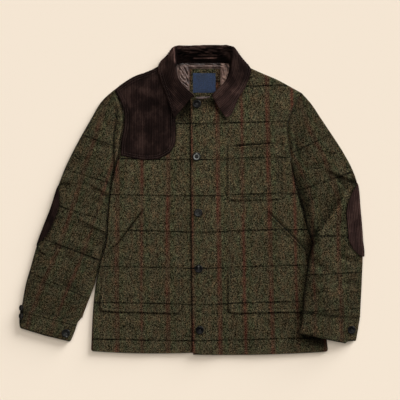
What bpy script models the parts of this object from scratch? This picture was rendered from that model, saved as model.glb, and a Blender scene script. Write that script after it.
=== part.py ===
"""A buttoned barn coat laid flat on its back: checked tweed, corduroy collar and patches.

Frame: +X to the wearer's left, +Y towards the collar, +Z up from the surface it lies on. Metres.
Right and left are the wearer's, so the right side of the coat has negative X.
"""
import math

import bmesh
import bpy
import numpy as np
from mathutils import Matrix, Vector

for thing in list(bpy.data.objects):
    bpy.data.objects.remove(thing, do_unlink=True)

COAT = bpy.data.collections.new("barn_coat")
bpy.context.scene.collection.children.link(COAT)

# Driving sizes
WALL = 0.0028  # tweed with the quilted lining behind it
BODY_HEIGHT = 0.0094  # underside of the back to the top of the fronts
SLEEVE_HEIGHT = 0.0092  # a sleeve lying flat
SEAM = 0.0002  # half of the gap at a seam
SEAM_SIDE = 0.0009  # height of the upright strip beside a side seam
LIE = 0.0003  # gap between a piece and the panel it is sewn on
ARMHOLE_GAP = 0.0015  # between a sleeve head and the armhole
LAP_DIP = 0.0008  # how far the under front sinks below the over front
LAP_RISE = 0.0024  # how far the over front rises at the placket
SLEEVE_LIFT = 0.0024  # room below a sleeve for its elbow patch
OVER_BODY = 0.0141  # underside of the left forearm where it crosses the body
CUFF_GROW = 0.0024  # a cuff is larger than its sleeve by this all round
CORD_WALL = 0.0018  # pad and pocket cloth
PATCH_WALL = 0.0014  # elbow patches
COLLAR_WALL = 0.0024
CUFF_WALL = 0.0052  # a doubled band
LINING_WALL = 0.0008
LABEL_WALL = 0.0006
HEM_SAG = {"right": 0.0045, "left": 0.0036}
HEM_CORNER = 0.006  # how far the lower side corners are rounded off
BACK_NECK = 0.3442  # where the back ends below the collar
ROLL_TURNS = (35, 62, 90)  # degrees up the round of an edge at which it has points
HEAD_SHARES = (0.07, 0.22, 0.37, 0.52, 0.67, 0.82, 0.95)  # of an armhole, from the underarm up
LAP_RIGHT = (-0.022, -0.014, -0.006)  # x where the under front dips
LAP_LEFT = (0.084, 0.074, 0.064, 0.054, 0.044)  # x where the over front rises
ELBOW_LIE = 0.0008  # gap below an elbow patch

# Outlines seen from above: x, y
SIDE = {
    "right": (
        (-0.2520, -0.3790), (-0.2470, -0.2755), (-0.2430, -0.2305),
        (-0.2370, -0.1905), (-0.2260, -0.1430),
        (-0.2165, -0.1130), (-0.2105, -0.0430), (-0.2020, 0.0345), (-0.1940, 0.0745), (-0.1855, 0.1020),
    ),
    "left": (
        (0.3410, -0.3798), (0.3250, -0.2505), (0.3120, -0.1705), (0.3000, -0.0970), (0.2825, -0.0420),
        (0.2670, 0.0120), (0.2555, 0.0615), (0.2480, 0.1020),
    ),
}
ARMHOLE = {
    "right": (
        (-0.1855, 0.1020), (-0.1820, 0.1170), (-0.1770, 0.1495), (-0.1710, 0.1805), (-0.1695, 0.2120),
        (-0.1770, 0.2405), (-0.1935, 0.2750),
    ),
    "left": (
        (0.2480, 0.1020), (0.2445, 0.1320), (0.2390, 0.1670), (0.2410, 0.1995), (0.2480, 0.2195),
        (0.2595, 0.2455), (0.2740, 0.2675),
    ),
}
SHOULDER = {
    "right": (
        (-0.1935, 0.2750), (-0.1745, 0.2895), (-0.1420, 0.3095), (-0.1145, 0.3195), (-0.0920, 0.3295),
        (-0.0670, 0.3445),
    ),
    "left": (
        (0.2740, 0.2675), (0.2505, 0.2795), (0.2130, 0.2995), (0.1755, 0.3150), (0.1455, 0.3295),
        (0.1180, 0.3445),
    ),
}
# Front edges and necklines: y, x
FRONT_EDGE = {
    "right": (
        (-0.3806, 0.0400), (0.2570, 0.0400), (0.2600, -0.0010), (0.2695, -0.0115), (0.2895, -0.0240),
        (0.3120, -0.0315), (0.3345, -0.0345),
    ),
    "left": (
        (-0.3870, 0.0035), (0.2560, -0.0025), (0.2590, 0.0480), (0.2695, 0.0605), (0.2895, 0.0765),
        (0.3120, 0.0877), (0.3345, 0.0933),
    ),
}
# Sections of the sleeves from the shoulder to the cuff: inner x, inner y, outer x, outer y
SLEEVE = {
    "right": (
        (-0.1870, 0.0995, -0.1935, 0.2750), (-0.1965, 0.0720, -0.2220, 0.2495),
        (-0.2045, 0.0320, -0.2545, 0.1970),
        (-0.2090, -0.0080, -0.2870, 0.1395), (-0.2135, -0.0505, -0.3143, 0.0845),
        (-0.2180, -0.0905, -0.3348, 0.0320),
        (-0.2265, -0.1330, -0.3525, -0.0230), (-0.2370, -0.1755, -0.3712, -0.0705),
        (-0.2470, -0.2130, -0.3876, -0.1155),
        (-0.2590, -0.2505, -0.4030, -0.1680), (-0.2685, -0.2755, -0.4145, -0.2105),
        (-0.2745, -0.2960, -0.4240, -0.2730),
    ),
    "left": (
        (0.2500, 0.0995, 0.2740, 0.2675), (0.2555, 0.0770, 0.2945, 0.2395),
        (0.2620, 0.0470, 0.3214, 0.2055),
        (0.2710, 0.0070, 0.3507, 0.1620), (0.2803, -0.0255, 0.3781, 0.1195),
        (0.2910, -0.0605, 0.4020, 0.0745),
        (0.3030, -0.0980, 0.4150, 0.0345), (0.2965, -0.1280, 0.4206, -0.0255),
        (0.2895, -0.1630, 0.4254, -0.0805),
        (0.2825, -0.2030, 0.4276, -0.1380), (0.2775, -0.2430, 0.4255, -0.1955),
        (0.2762, -0.2780, 0.4208, -0.2945),
    ),
}
SEAM_SAG = {"right": 0.0040, "left": 0.0030}
CUFF = {
    "right": (
        (-0.2820, -0.2977, -0.4270, -0.2753), (-0.2920, -0.3270, -0.4308, -0.2990),
        (-0.3030, -0.3540, -0.4285, -0.3220),
    ),
    "left": (
        (0.2752, -0.2806, 0.4206, -0.2971), (0.2748, -0.3055, 0.4158, -0.3240),
        (0.2735, -0.3318, 0.4105, -0.3545),
    ),
}
CUFF_SAG = {"right": 0.0020, "left": 0.0100}
CUFF_SLIT = 0.15  # where the cuff band's ends meet, across its underside from the outer edge
# Largest creases of the left sleeve: from x, from y, to x, to y, half width, depth
CREASES = (
    (0.3030, -0.0980, 0.3640, -0.0080, 0.011, 0.0030),
    (0.3530, 0.0645, 0.4105, 0.0445, 0.010, 0.0022),
)
# Sections of the collar's halves, from their front ends to the back neck:
# x, y, z of the neck seam, then of the roll line, then of the outer edge
COLLAR = (
    (0.0030, 0.2580, 0.0128, -0.0005, 0.2630, 0.0185, -0.0445, 0.2030, 0.0148),
    (-0.0105, 0.2695, 0.0120, -0.0155, 0.2795, 0.0210, -0.0605, 0.2495, 0.0150),
    (-0.0230, 0.2895, 0.0114, -0.0295, 0.3005, 0.0230, -0.0730, 0.2820, 0.0150),
    (-0.0305, 0.3120, 0.0110, -0.0360, 0.3245, 0.0240, -0.0815, 0.3095, 0.0148),
    (-0.0325, 0.3295, 0.0110, -0.0395, 0.3470, 0.0245, -0.0850, 0.3270, 0.0140),
    (-0.0305, 0.3410, 0.0105, -0.0425, 0.3655, 0.0240, -0.0805, 0.3445, 0.0100),
    (-0.0250, 0.3440, 0.0070, -0.0430, 0.3780, 0.0220, -0.0625, 0.3600, 0.0055),
    (-0.0140, 0.3448, 0.0052, -0.0290, 0.3840, 0.0205, -0.0370, 0.3690, 0.0035),
    (0.0060, 0.3450, 0.0050, -0.0020, 0.3850, 0.0200, -0.0045, 0.3700, 0.0032),
    (0.0294, 0.3450, 0.0050, 0.0294, 0.3855, 0.0200, 0.0294, 0.3700, 0.0032),
)
COLLAR_LEFT = (
    (0.0467, 0.2580, 0.0128, 0.0507, 0.2630, 0.0185, 0.0864, 0.2056, 0.0148),
    (0.0500, 0.2605, 0.0126, 0.0545, 0.2670, 0.0190, 0.0939, 0.2090, 0.0148),
    (0.0614, 0.2695, 0.0120, 0.0674, 0.2795, 0.0210, 0.1151, 0.2495, 0.0150),
    (0.0759, 0.2895, 0.0114, 0.0835, 0.3005, 0.0230, 0.1344, 0.2826, 0.0150),
    (0.0856, 0.3120, 0.0110, 0.0924, 0.3245, 0.0240, 0.1456, 0.3099, 0.0148),
    (0.0894, 0.3295, 0.0110, 0.0981, 0.3470, 0.0245, 0.1480, 0.3280, 0.0140),
    (0.0885, 0.3410, 0.0105, 0.1013, 0.3655, 0.0240, 0.1385, 0.3445, 0.0100),
    (0.0834, 0.3440, 0.0070, 0.1018, 0.3780, 0.0220, 0.1223, 0.3600, 0.0055),
    (0.0728, 0.3448, 0.0052, 0.0878, 0.3840, 0.0205, 0.0958, 0.3690, 0.0035),
    (0.0528, 0.3450, 0.0050, 0.0608, 0.3850, 0.0200, 0.0633, 0.3700, 0.0032),
    (0.0294, 0.3450, 0.0050, 0.0294, 0.3855, 0.0200, 0.0294, 0.3700, 0.0032),
)
# The shoulder pad's edges: x, y
PAD_ARMHOLE = (
    (-0.1780, 0.1105), (-0.1755, 0.1495), (-0.1695, 0.1805),
    (-0.1680, 0.2120), (-0.1755, 0.2405), (-0.1880, 0.2700),
)
PAD_LOWER = (
    (-0.1780, 0.1105), (-0.1420, 0.1030), (-0.1095, 0.0995), (-0.0795, 0.1035), (-0.0545, 0.1170),
)
PAD_FRONT = (
    (-0.0545, 0.1170), (-0.0425, 0.1370), (-0.0400, 0.1560), (-0.0405, 0.2020),
    (-0.0440, 0.2550), (-0.0600, 0.3050), (-0.0850, 0.3255),
)
PAD_SHOULDER = (
    (-0.1880, 0.2700), (-0.1710, 0.2850), (-0.1400, 0.3045), (-0.1120, 0.3150), (-0.0850, 0.3255),
)
# Elbow patches: middle along the sleeve's outer edge, half length, middle and half width round the edge
ELBOW = {
    "right": (0.598, 0.094, -0.0270, 0.0520),
    "left": (0.596, 0.095, -0.0150, 0.0530),
}
# Patch pockets: corner radius, then rows of y and both edges' x from the bottom up
CHEST_POCKET = (0.0120, ((-0.0005, 0.0895, 0.2220), (0.1365, 0.0895, 0.2220)))
CHEST_SLOPE = (0.015, 0.085)  # of its lower and upper edge
HIP_POCKET = {
    "right": (0.0150, (
        (-0.2815, -0.2315, -0.0270), (-0.1380, -0.2170, -0.0270), (-0.1105, -0.1845, -0.0270),
        (-0.0805, -0.1620, -0.0270), (-0.0280, -0.1230, -0.0270),
    )),
    "left": (0.0150, (
        (-0.2815, 0.0910, 0.3090), (-0.1255, 0.0910, 0.2820), (-0.1055, 0.0910, 0.2645),
        (-0.0780, 0.0910, 0.2380), (-0.0330, 0.0910, 0.1920),
    )),
}
HIP_SLOPE = {"right": (-0.025, 0.0), "left": (0.022, 0.0)}
# Inside the neck: low x, low y, high x, high y
NECK_LINING = (-0.0480, 0.2420, 0.1060, 0.3440)
LABEL_PATCH = (-0.0055, 0.2480, 0.0720, 0.3280)
NECK_LABEL = (0.0030, 0.2680, 0.0595, 0.3170)
# Buttons: outline from the middle of the face round to the middle of the underside, radius and height
BUTTON = (
    (0.0, 0.0020), (0.0066, 0.0022), (0.0080, 0.0030), (0.0098, 0.0030),
    (0.0106, 0.0010), (0.0098, 0.0), (0.0, 0.0),
)
BUTTON_TURN = 14
EDGE_FACE = (-0.70, 0.0, 0.714)  # of the two buttons round the right cuff's edge
EDGE_SIZE = 0.75
FRONT_BUTTONS = (
    (0.0128, 0.2392), (0.0120, 0.1076), (0.0158, -0.0327), (0.0171, -0.1724), (0.0200, -0.3255),
)

CLOTHS = {
    "tweed": ((0.041, 0.033, 0.019), 0.95),
    "corduroy": ((0.018, 0.010, 0.008), 0.92),
    "satin": ((0.105, 0.066, 0.055), 0.45),
    "label_cloth": ((0.022, 0.045, 0.105), 0.6),
    "horn": ((0.012, 0.011, 0.016), 0.3),
}


def make_cloth(name):
    colour, roughness = CLOTHS[name]
    made = bpy.data.materials.new(name)
    made.use_nodes = True
    shader = made.node_tree.nodes["Principled BSDF"]
    shader.inputs["Base Color"].default_value = (*colour, 1.0)
    shader.inputs["Roughness"].default_value = roughness
    shader.inputs["Metallic"].default_value = 0.0
    return made


MATERIALS = {name: make_cloth(name) for name in CLOTHS}


def ease(value):
    """0 below 0, 1 above 1 and a soft step between."""
    value = np.clip(value, 0.0, 1.0)
    return value * value * (3.0 - 2.0 * value)


def along(points, shares):
    """Places at these shares of the length of a smooth curve through the points."""
    knots = np.array(points, float)
    steps = np.linalg.norm(np.diff(knots, axis=0), axis=1)
    at = np.concatenate([[0.0], np.cumsum(steps)])
    slopes = np.gradient(knots, at, axis=0)
    fine = np.linspace(0.0, at[-1], 30 * len(steps) + 1)
    part = np.clip(np.searchsorted(at, fine, side="right") - 1, 0, len(steps) - 1)
    length = steps[part][:, None]
    t = ((fine - at[part]) / steps[part])[:, None]
    curve = (
        (2 * t**3 - 3 * t**2 + 1) * knots[part]
        + (t**3 - 2 * t**2 + t) * length * slopes[part]
        + (3 * t**2 - 2 * t**3) * knots[part + 1]
        + (t**3 - t**2) * length * slopes[part + 1]
    )
    gone = np.concatenate([[0.0], np.cumsum(np.linalg.norm(np.diff(curve, axis=0), axis=1))])
    wanted = np.asarray(shares, float) * gone[-1]
    return np.stack([np.interp(wanted, gone, curve[:, k]) for k in range(curve.shape[1])], axis=1)


def roll_columns(height):
    """Up the round of a flattened tube: distance in from its edge, height above the seam, slope."""
    radius = height / 2
    columns = [(0.0, SEAM, 0.0), (0.0, SEAM_SIDE, 0.0)]
    for degrees in ROLL_TURNS:
        turn = math.radians(degrees)
        columns.append((radius * (1 - math.cos(turn)), radius * math.sin(turn), turn))
    return columns


ZONES = {"side": SIDE, "armhole": ARMHOLE, "shoulder": SHOULDER}
FINE = np.linspace(0, 1, 161)
OUTLINE = {zone: {side: along(table[side], FINE) for side in table} for zone, table in ZONES.items()}


def side_x(side, y):
    """Where the body's side edge is at height y of the coat."""
    curve = OUTLINE["side"][side]
    return np.interp(y, curve[:, 1], curve[:, 0])


def body_edge(side, zone, share):
    """A place on the body's edge, the way inwards from it, and 1 where the cloth rolls over there."""
    curve = OUTLINE[zone][side]
    here, before, after = (
        np.array([np.interp(s, FINE, curve[:, k]) for k in (0, 1)])
        for s in (share, max(share - 0.01, 0.0), min(share + 0.01, 1.0))
    )
    way = (after - before) / np.linalg.norm(after - before)
    inward = np.array([way[1], -way[0]]) if side == "right" else np.array([-way[1], way[0]])
    rise = here[1] - curve[0, 1]
    if zone == "side" and rise < HEM_CORNER:
        here[0] += inward[0] * (HEM_CORNER - math.sqrt(HEM_CORNER**2 - (HEM_CORNER - rise) ** 2))
    return here, inward, 0.0 if zone == "armhole" else 1.0


def front_top(side, x):
    """Height of a front's outer face: the over front rides up on the under front at the placket."""
    if side == "right":
        return BODY_HEIGHT - LAP_DIP * ease((x - LAP_RIGHT[0]) / (LAP_RIGHT[-1] - LAP_RIGHT[0]))
    return BODY_HEIGHT + LAP_RISE * (1 - ease((x - LAP_LEFT[-1]) / (LAP_LEFT[0] - LAP_LEFT[-1])))


def body_rows(side, top):
    """The rows of a body panel from the hem to the neck: zone, share of that zone's edge."""
    length = OUTLINE["side"][side][-1, 1] - OUTLINE["side"][side][0, 1]
    shoulder = OUTLINE["shoulder"][side]
    last = np.interp(top, shoulder[:, 1], FINE)
    rows = [("side", f * HEM_CORNER / length) for f in (0.0, 0.3, 1.0)]
    rows += [("side", s) for s in np.linspace(0.08, 1.0, 9)]
    rows += [("armhole", s) for s in HEAD_SHARES]
    rows += [("shoulder", s) for s in np.linspace(0.0, last, 7)]
    return rows


def rolled_strip(side, zone, share, high):
    """The strip of a body panel along its edge: outer points, inner points."""
    place, inward, rolled = body_edge(side, zone, share)
    radius = BODY_HEIGHT / 2
    outer, inner = [], []
    for distance, rise, turn in roll_columns(BODY_HEIGHT):
        if rolled == 0.0 and rise == SEAM_SIDE:
            distance = 0.0006
        turn = turn * rolled + math.pi / 2 * (1 - rolled)
        spot = place + inward * distance
        behind = spot + inward * WALL * math.cos(turn)
        drop = rolled * (radius - rise)
        outer.append((spot[0], spot[1], high(spot[0], drop)))
        inner.append((behind[0], behind[1], high(spot[0], drop + WALL * math.sin(turn))))
    return outer, inner


def front_grids(side):
    edge = np.array(FRONT_EDGE[side])
    curve = OUTLINE["armhole"][side]
    rows = body_rows(side, edge[-1, 0])
    for level in edge[1:3, 0]:
        share = np.interp(level, curve[:, 1], FINE)
        rows = [r for r in rows if r[0] != "armhole" or abs(r[1] - share) > 0.02] + [("armhole", share)]
    order = {"side": 0, "armhole": 1, "shoulder": 2}
    rows.sort(key=lambda r: (order[r[0]], r[1]))
    step = 0.004 if side == "left" else -0.004
    stops = LAP_LEFT if side == "left" else LAP_RIGHT
    keep_out = max if side == "left" else min
    outer, inner = [], []
    for zone, share in rows:
        strip, behind = rolled_strip(side, zone, share, lambda x, drop: front_top(side, x) - drop)
        level = body_edge(side, zone, share)[0][1]
        hem = OUTLINE["side"][side][0, 1]
        near_hem = max(0.0, 1 - (level - hem) / 0.05)
        end = np.interp(level, edge[:, 0], edge[:, 1])
        lap = [end] + [keep_out(x, end + step * (k + 1)) for k, x in enumerate(stops[::-1])]
        start_x, start_y, _ = strip[-1]
        across = list(np.linspace(start_x, lap[-1], 6)[1:-1]) + lap[::-1]
        for x in across:
            share_x = (x - start_x) / (end - start_x)
            y = start_y + (level - start_y) * share_x + near_hem * (edge[0, 0] - hem) * share_x
            y -= near_hem * HEM_SAG[side] * 4 * share_x * (1 - share_x)
            strip.append((x, y, front_top(side, x)))
            behind.append((x, y, front_top(side, x) - WALL))
        outer.append(strip)
        inner.append(behind)
    return np.array(outer), np.array(inner)


def back_grids():
    rows = {side: body_rows(side, BACK_NECK) for side in SIDE}
    outer, inner = [], []
    for right, left in zip(rows["right"], rows["left"]):
        strip, behind = rolled_strip("right", *right, lambda x, drop: drop)
        strip_left, behind_left = rolled_strip("left", *left, lambda x, drop: drop)
        start, end = np.array(strip[-1]), np.array(strip_left[-1])
        middle = [start + (end - start) * share for share in np.linspace(0, 1, 9)[1:-1]]
        outer.append(strip + [tuple(m) for m in middle] + strip_left[::-1])
        inner.append(behind + [tuple(m + np.array([0, 0, WALL])) for m in middle] + behind_left[::-1])
    return np.array(outer), np.array(inner)


def sleeve_lift(side, x, y, share):
    """Height of a sleeve's underside: the left forearm climbs onto the body."""
    rest = SLEEVE_LIFT * ease(share / 0.2)
    if side == "right":
        return rest
    inside = side_x("left", y) - x
    climb = ease((inside + 0.072) / 0.068) * ease((-0.013 - y) / 0.0775)
    return rest + (OVER_BODY - rest) * climb


def sections(table, shares):
    """Both edges of a sleeve or cuff and the ways inwards from them."""
    rows = along(table, shares)
    inner, outer = rows[:, :2], rows[:, 2:]
    ways = []
    for edge, other in ((inner, outer), (outer, inner)):
        run = np.gradient(edge, axis=0)
        run /= np.linalg.norm(run, axis=1)[:, None]
        way = np.stack([-run[:, 1], run[:, 0]], axis=1)
        way *= np.sign(np.sum(way * (other - edge), axis=1))[:, None]
        ways.append(way)
    return inner, outer, ways[0], ways[1]


def creased(x, y):
    """How deep the largest creases are at a place."""
    depth = 0.0
    for from_x, from_y, to_x, to_y, half, deep in CREASES:
        run = np.array([to_x - from_x, to_y - from_y])
        length = np.linalg.norm(run)
        run /= length
        gone = (x - from_x) * run[0] + (y - from_y) * run[1]
        off = (x - from_x) * -run[1] + (y - from_y) * run[0]
        ends = ease((gone + half) / (2 * half)) * ease((length + half - gone) / (2 * half))
        depth = np.maximum(depth, deep * ends * np.exp(-((off / half) ** 2)))
    return depth


def tube_grids(side, table, shares, spots, height, wall, low_of, sag_of, head):
    """Outer and inner faces of a flattened tube, or of half of it, through these spots round it.

    A spot is the edge it is measured from (or None), its distance or its share across, and its turn.
    """
    inner_edge, outer_edge, from_inner, from_outer = sections(table, shares)
    radius = height / 2
    start, end = outer_edge + from_outer * radius, inner_edge + from_inner * radius
    faces = np.zeros((2, len(shares), len(spots), 3))
    near = np.clip(1 - shares / 0.3, 0, 1) ** 2
    for k, (edge, value, rise, turn) in enumerate(spots):
        if edge is None:
            across, plan, way = value, start + (end - start) * value, np.zeros_like(start)
        elif edge == "outer":
            across, plan, way = 0.0, outer_edge + from_outer * value, from_outer
        else:
            across, plan, way = 1.0, inner_edge + from_inner * value, from_inner
        if head:
            length = np.linalg.norm(np.diff(ARMHOLE[side], axis=0), axis=1).sum()
            up = HEAD_SHARES[head[k]] if edge is None else value / length
            target = along(ARMHOLE[side], [1 - up if edge == "outer" else up])[0]
            target[0] += -ARMHOLE_GAP if side == "right" else ARMHOLE_GAP
            plan = plan + near[:, None] * (target - plan[0])[None, :]
        sag = sag_of(shares) * 4 * across * (1 - across)
        plan = plan - np.stack([np.zeros(len(shares)), sag], axis=1)
        low = low_of(plan[:, 0], plan[:, 1])
        behind = plan + way * wall * math.cos(turn)
        faces[0, :, k, :2] = plan
        faces[1, :, k, :2] = behind
        faces[0, :, k, 2] = low + radius + rise
        faces[1, :, k, 2] = low + radius + rise - wall * math.sin(turn)
    return faces


def sleeve_grids(side, upper):
    shares = np.linspace(0, 1, 18)
    columns = roll_columns(SLEEVE_HEIGHT)
    radius = SLEEVE_HEIGHT / 2
    sign = 1 if upper else -1
    spots = [("outer", d, sign * rise, sign * turn) for d, rise, turn in columns]
    count = len(HEAD_SHARES)
    head = {}
    for k in range(count):
        head[len(spots)] = count - 1 - k
        spots.append((None, 1 - HEAD_SHARES[count - 1 - k], sign * radius, sign * math.pi / 2))
    spots += [("inner", d, sign * rise, sign * turn) for d, rise, turn in columns[::-1]]
    faces = tube_grids(
        side, SLEEVE[side], shares, spots, SLEEVE_HEIGHT, WALL,
        lambda x, y: sleeve_lift(side, x, y, shares),
        lambda s: SEAM_SAG[side] * ease((s - 0.8) / 0.2), head,
    )
    if upper and side == "left":
        for k in head:
            faces[:, :, k, 2] -= creased(faces[0, :, k, 0], faces[0, :, k, 1])
    return faces[0], faces[1]


def cuff_grids(side):
    """A band wrapped round the end of the sleeve, its ends meeting on the underside."""
    shares = np.linspace(0, 1, 5)
    height = SLEEVE_HEIGHT + 2 * CUFF_GROW
    radius = height / 2
    turns = [math.radians(d) for d in (-90, -62, -35, 0, 35, 62, 90)]
    under = -math.pi / 2
    spots = [(None, s, -radius, under) for s in (CUFF_SLIT + 0.008, 0.45, 0.72)]
    spots += [("inner", radius * (1 - math.cos(t)), radius * math.sin(t), t) for t in turns]
    spots += [(None, s, radius, -under) for s in (0.85, 0.7, 0.55, 0.4, 0.25, 0.12)]
    spots += [("outer", radius * (1 - math.cos(t)), radius * math.sin(t), t) for t in turns[::-1]]
    spots.append((None, CUFF_SLIT - 0.008, -radius, under))
    faces = tube_grids(
        side, CUFF[side], shares, spots, height, CUFF_WALL,
        lambda x, y: sleeve_lift(side, x, y, np.ones(len(shares))) - CUFF_GROW,
        lambda s: SEAM_SAG[side] + (CUFF_SAG[side] - SEAM_SAG[side]) * s, {},
    )
    return faces[0], faces[1]


def unit(rows):
    return rows / np.linalg.norm(rows, axis=1)[:, None]


def curve_between(start, from_start, into_end, end, shares):
    """A smooth strip from start to end, row by row."""
    t = np.asarray(shares)[None, :, None]
    a, b, c, d = (p[:, None, :] for p in (start, from_start, into_end, end))
    return (1 - t) ** 3 * a + 3 * (1 - t) ** 2 * t * b + 3 * (1 - t) * t**2 * c + t**3 * d


def collar_grid():
    right = along(COLLAR, np.linspace(0, 1, 16))
    left = along(COLLAR_LEFT, np.linspace(1, 0, 16))[1:]
    rows = np.concatenate([right, left])
    seam, roll, edge = rows[:, 0:3], rows[:, 3:6], rows[:, 6:9]
    out = unit(roll - (seam + edge) / 2)
    over = edge - seam
    over = unit(over - np.sum(over * out, axis=1)[:, None] * out)
    stand = np.linalg.norm(roll - seam, axis=1)[:, None]
    turn = np.minimum(0.35 * stand, 0.010)
    shares = np.linspace(0, 1, 5)
    up = curve_between(seam, seam + (roll - seam) * 0.3, roll - over * turn, roll, shares)
    shares = np.linspace(0, 1, 7)[1:]
    down = curve_between(roll, roll + over * turn, edge + (roll - edge) * 0.3, edge, shares)
    return np.concatenate([up, down], axis=1)


def pad_grid():
    """The shoulder pad, spread between its four edges and laid on the right front."""
    n, m = 13, 9
    u = np.linspace(0, 1, m)
    v = np.linspace(0, 1, n)
    armhole, front = along(PAD_ARMHOLE, v), along(PAD_FRONT, v)
    lower, shoulder = along(PAD_LOWER, u), along(PAD_SHOULDER, u)
    grid = np.zeros((n, m, 3))
    for j in range(n):
        for i in range(m):
            spot = (1 - u[i]) * armhole[j] + u[i] * front[j] + (1 - v[j]) * lower[i] + v[j] * shoulder[i]
            spot = spot - (1 - u[i]) * (1 - v[j]) * armhole[0] - u[i] * (1 - v[j]) * front[0]
            spot = spot - (1 - u[i]) * v[j] * armhole[-1] - u[i] * v[j] * front[-1]
            grid[j, i] = (spot[0], spot[1], front_top("right", spot[0]) + LIE + CORD_WALL)
    return grid


def elbow_grids(side):
    """A patch wrapped round the outer edge of a sleeve, on both its pieces: outer face, inner face."""
    middle, half_length, middle_round, half_round = ELBOW[side]
    inner, outer, from_inner, from_outer = sections(SLEEVE[side], FINE)
    gone = np.concatenate([[0], np.cumsum(np.linalg.norm(np.diff(outer, axis=0), axis=1))])
    radius = SLEEVE_HEIGHT / 2
    quarter = radius * math.pi / 2
    bends = [math.radians(d) * radius for d in ROLL_TURNS]
    high, low = middle_round + half_round, middle_round - half_round
    stops = [high, high - 0.004, (high + quarter) / 2] + bends[::-1] + [0.0]
    stops += [-b for b in bends] + [(low - quarter) / 2, low + 0.006, low]
    faces = np.zeros((2, 9, len(stops), 3))
    for k, stop in enumerate(stops):
        reach = half_length * math.sqrt(1 - 0.9 * ((stop - middle_round) / half_round) ** 2)
        turn = np.clip(stop / radius, -math.pi / 2, math.pi / 2)
        distance = radius * (1 - math.cos(turn)) + max(0.0, abs(stop) - quarter)
        for j, t in enumerate(np.linspace(-1, 1, 9)):
            share = np.interp(middle * gone[-1] + t * reach, gone, FINE)
            place = np.array([np.interp(share, FINE, outer[:, n]) for n in (0, 1)])
            inward = np.array([np.interp(share, FINE, from_outer[:, n]) for n in (0, 1)])
            inward /= np.linalg.norm(inward)
            plan = place + inward * distance
            low_z = sleeve_lift(side, plan[0], plan[1], share)
            spot = np.array([plan[0], plan[1], low_z + radius + radius * math.sin(turn)])
            out = np.array([*(-inward * math.cos(turn)), math.sin(turn)])
            faces[0, j, k] = spot + out * (ELBOW_LIE + PATCH_WALL)
            faces[1, j, k] = spot + out * ELBOW_LIE
    return faces[0], faces[1]


def pocket_grid(front, shape, slope):
    """A patch pocket with rounded lower corners, laid on its front."""
    corner, rows = shape
    table = np.array(rows)
    bottom, top = table[0, 0], table[-1, 0]
    levels = [bottom + corner * f for f in (0.0, 0.12, 0.45, 1.0)]
    levels += [y for y in np.linspace(bottom, top, 8) if y > bottom + 1.4 * corner]
    grid = []
    for level in levels:
        cut = 0.0
        if level < bottom + corner:
            cut = corner - math.sqrt(corner**2 - (corner - (level - bottom)) ** 2)
        start = np.interp(level, table[:, 0], table[:, 1]) + cut
        end = np.interp(level, table[:, 0], table[:, 2]) - cut
        high = (level - bottom) / (top - bottom)
        row = []
        for x in np.linspace(start, end, 8):
            tilt = (slope[0] * (1 - high) + slope[1] * high) * (x - (table[0, 1] + table[0, 2]) / 2)
            row.append((x, level + tilt, front_top(front, x) + LIE + CORD_WALL))
        grid.append(row)
    return np.array(grid)


def flat_grid(box, height):
    low_x, low_y, high_x, high_y = box
    return np.array([[(x, y, height) for x in (low_x, high_x)] for y in (low_y, high_y)])


def keep(mesh, name, cloth):
    mesh.materials.append(MATERIALS[cloth])
    made = bpy.data.objects.new(name, mesh)
    COAT.objects.link(made)
    return made


def sew(name, grid, wall, cloth, facing):
    """One piece of cloth: its outer face through the grid's points, and its wall behind that."""
    rows, columns = grid.shape[:2]
    sheet = bmesh.new()
    bmesh.ops.create_grid(sheet, x_segments=columns - 1, y_segments=rows - 1, size=1.0)
    for vertex in sheet.verts:
        i = round((vertex.co.x + 1) / 2 * (columns - 1))
        j = round((vertex.co.y + 1) / 2 * (rows - 1))
        vertex.co = Vector(grid[j, i])
    sheet.normal_update()
    sheet.faces.ensure_lookup_table()
    middle = sheet.faces[(rows - 1) // 2 * (columns - 1) + (columns - 1) // 2]
    if middle.normal.dot(Vector(facing)) < 0:
        bmesh.ops.reverse_faces(sheet, faces=sheet.faces)
    mesh = bpy.data.meshes.new(name)
    sheet.to_mesh(mesh)
    sheet.free()
    made = keep(mesh, name, cloth)
    thick = made.modifiers.new("wall", "SOLIDIFY")
    thick.thickness = wall
    thick.offset = -1.0
    thick.use_even_offset = True
    thick.use_quality_normals = True
    return made


def line(name, grids, cloth):
    """One piece of cloth lofted between its outer and its inner face, with its cut edges closed."""
    outer, inner = grids
    rows, columns = outer.shape[:2]
    count = rows * columns
    faces = []
    for j in range(rows - 1):
        for i in range(columns - 1):
            a = j * columns + i
            quad = (a, a + 1, a + columns + 1, a + columns)
            faces.append(quad)
            faces.append(tuple(count + q for q in quad[::-1]))
    rim = [i for i in range(columns)]
    rim += [j * columns + columns - 1 for j in range(1, rows)]
    rim += [(rows - 1) * columns + i for i in range(columns - 2, -1, -1)]
    rim += [j * columns for j in range(rows - 2, 0, -1)]
    for a, b in zip(rim, rim[1:] + rim[:1]):
        faces.append((b, a, count + a, count + b))
    mesh = bpy.data.meshes.new(name)
    mesh.from_pydata(np.concatenate([outer.reshape(-1, 3), inner.reshape(-1, 3)]).tolist(), [], faces)
    sheet = bmesh.new()
    sheet.from_mesh(mesh)
    bmesh.ops.recalc_face_normals(sheet, faces=sheet.faces)
    sheet.to_mesh(mesh)
    sheet.free()
    return keep(mesh, name, cloth)


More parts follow.
